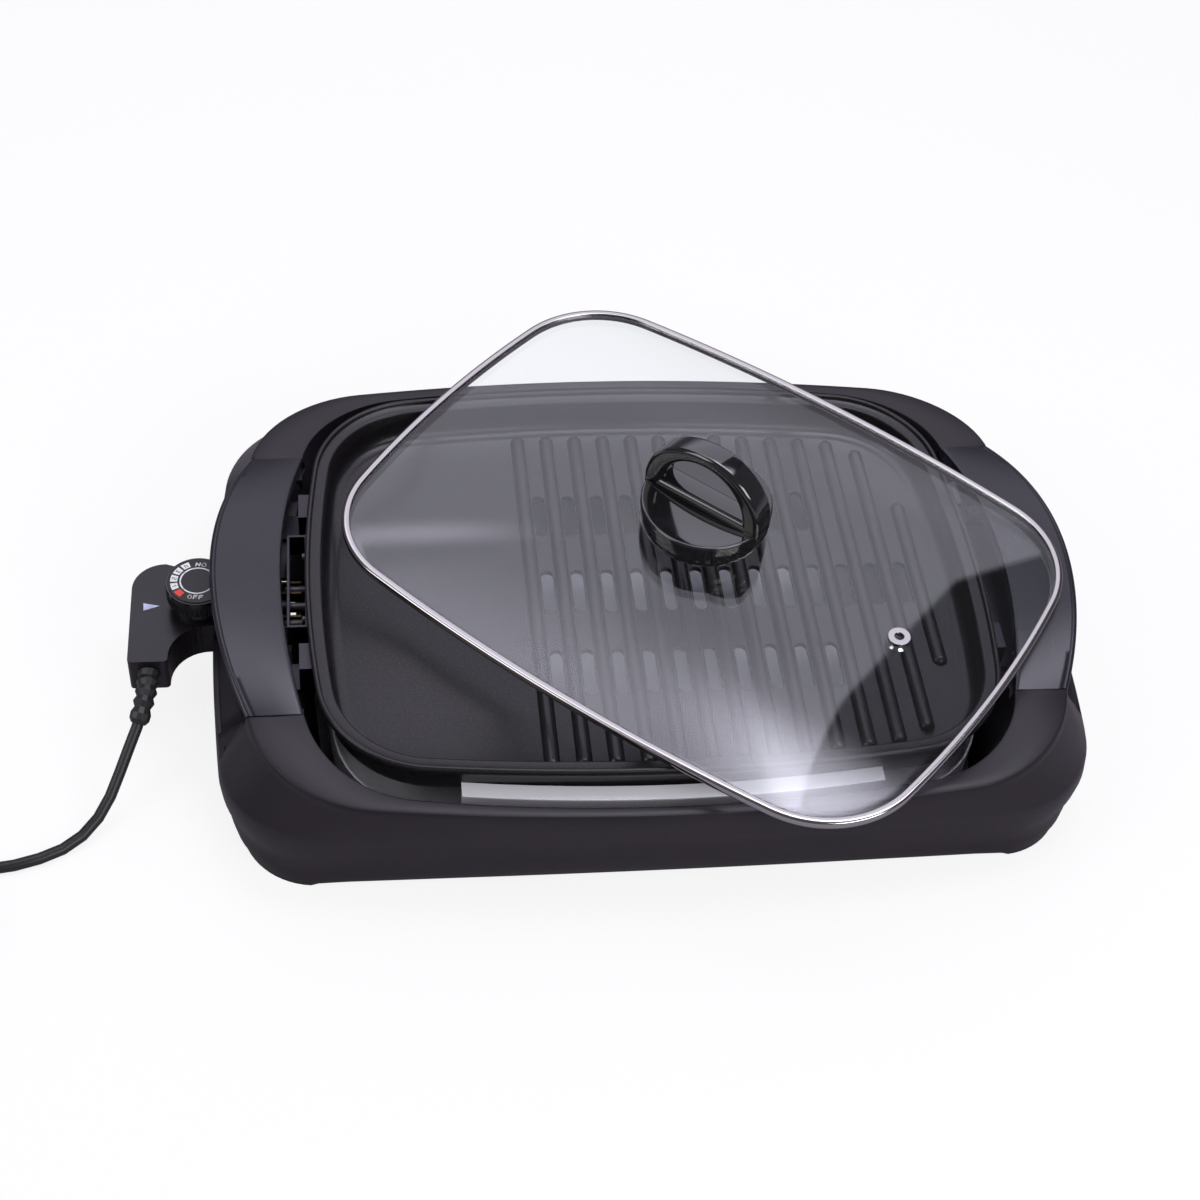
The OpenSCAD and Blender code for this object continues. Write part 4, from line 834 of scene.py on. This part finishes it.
# The lid handle: gloss black bakelite, a drum on a rubber gasket with a dished top and a
# closed loop across it, held by one screw through the glass.
gloss = pebbled("Handle gloss", (0.008, 0.008, 0.009), 0.07, grain=300.0, depth=0.02, coat=0.9,
                smudge=0.03, shine=0.6)
drum_low, drum_r, drum_h, dish_d = 17.86, 41.0, 20.0, 3
drum_top = drum_low + drum_h
drum_side = [
    (drum_r - 5, 0), (drum_r - 3, 0.9), (drum_r - 1.4, 3), (drum_r - 0.4, 6), (drum_r, 10),
    (drum_r, drum_h - 1.6), (drum_r - 0.2, drum_h - 0.7), (drum_r - 0.6, drum_h - 0.2),
    (drum_r - 1.2, drum_h)]
dish = [(r, drum_h - dish_d * (1 - (r / (drum_r - 1.5)) ** 2))
        for r in [drum_r - 2 - 3.6 * i for i in range(11)]]
drum = lofted("Lid_handle_drum", [
    [(r * cos(radians(4 * i)), r * sin(radians(4 * i)), drum_low + z) for i in range(90)]
    for r, z in drum_side + dish + [(0.6, drum_h - dish_d)]], move=on_lid, sharp=60.0)
loop_half, loop_rise, loop_side, loop_t, loop_w, loop_base = 42.0, 39.5, 12.5, 9.0, 17.0, 40.86


def band_ring(outer, inner, round_r=3.2, steps=5):
    """A rounded rectangle across the loop, between a point on its outside and one on its inside."""
    gap = (outer - inner).length
    toward = (outer - inner).normalized()
    ring = []
    for quarter, (s, w) in enumerate(((1, 1), (-1, 1), (-1, -1), (1, -1))):
        for i in range(steps + 1):
            a = radians(90 * (i / steps + quarter))
            off = gap / 2 + s * (gap / 2 - round_r) + round_r * cos(a)
            ring.append((inner.x + toward.x * off, w * (loop_w / 2 - round_r) + round_r * sin(a),
                         inner.y + toward.y * off))
    return ring


def arch(half, rise, a):
    return Vector((half * cos(radians(a)), loop_base + rise * sin(radians(a))))


loop_foot = loop_base - 5.5
feet = [(Vector((side * loop_half, loop_foot)), Vector((side * (loop_half - loop_side), loop_foot)))
        for side in (1, -1)]
spans = [(arch(loop_half, loop_rise, a), arch(loop_half - loop_side, loop_rise - loop_t, a))
         for a in range(0, 181, 4)]
loop = lofted("Lid_handle_loop", [band_ring(*pair) for pair in feet[:1] + spans + feet[1:]],
              move=on_lid, sharp=50.0)
bar_low, bar_top = drum_top - dish_d, drum_top + 5
bar_rings = [band_ring(Vector((x, bar_top)), Vector((x, bar_low))) for x in (-40, 0, 40)]
bar = lofted("Lid_handle_bar", bar_rings, move=on_lid, sharp=50.0)
for piece, node in ((drum, "handle_drum"), (loop, "handle_loop"), (bar, None)):
    piece.data.materials.append(gloss)
    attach(piece, "lid")
    if node:
        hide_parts(node)
pad_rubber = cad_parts["rubber_feet"].data.materials[0]
coated("handle_gasket", pad_rubber)
coated("handle_washer", pad_rubber)
coated("handle_screw", screw_steel)

bpy.context.scene.view_settings.view_transform = "Standard"
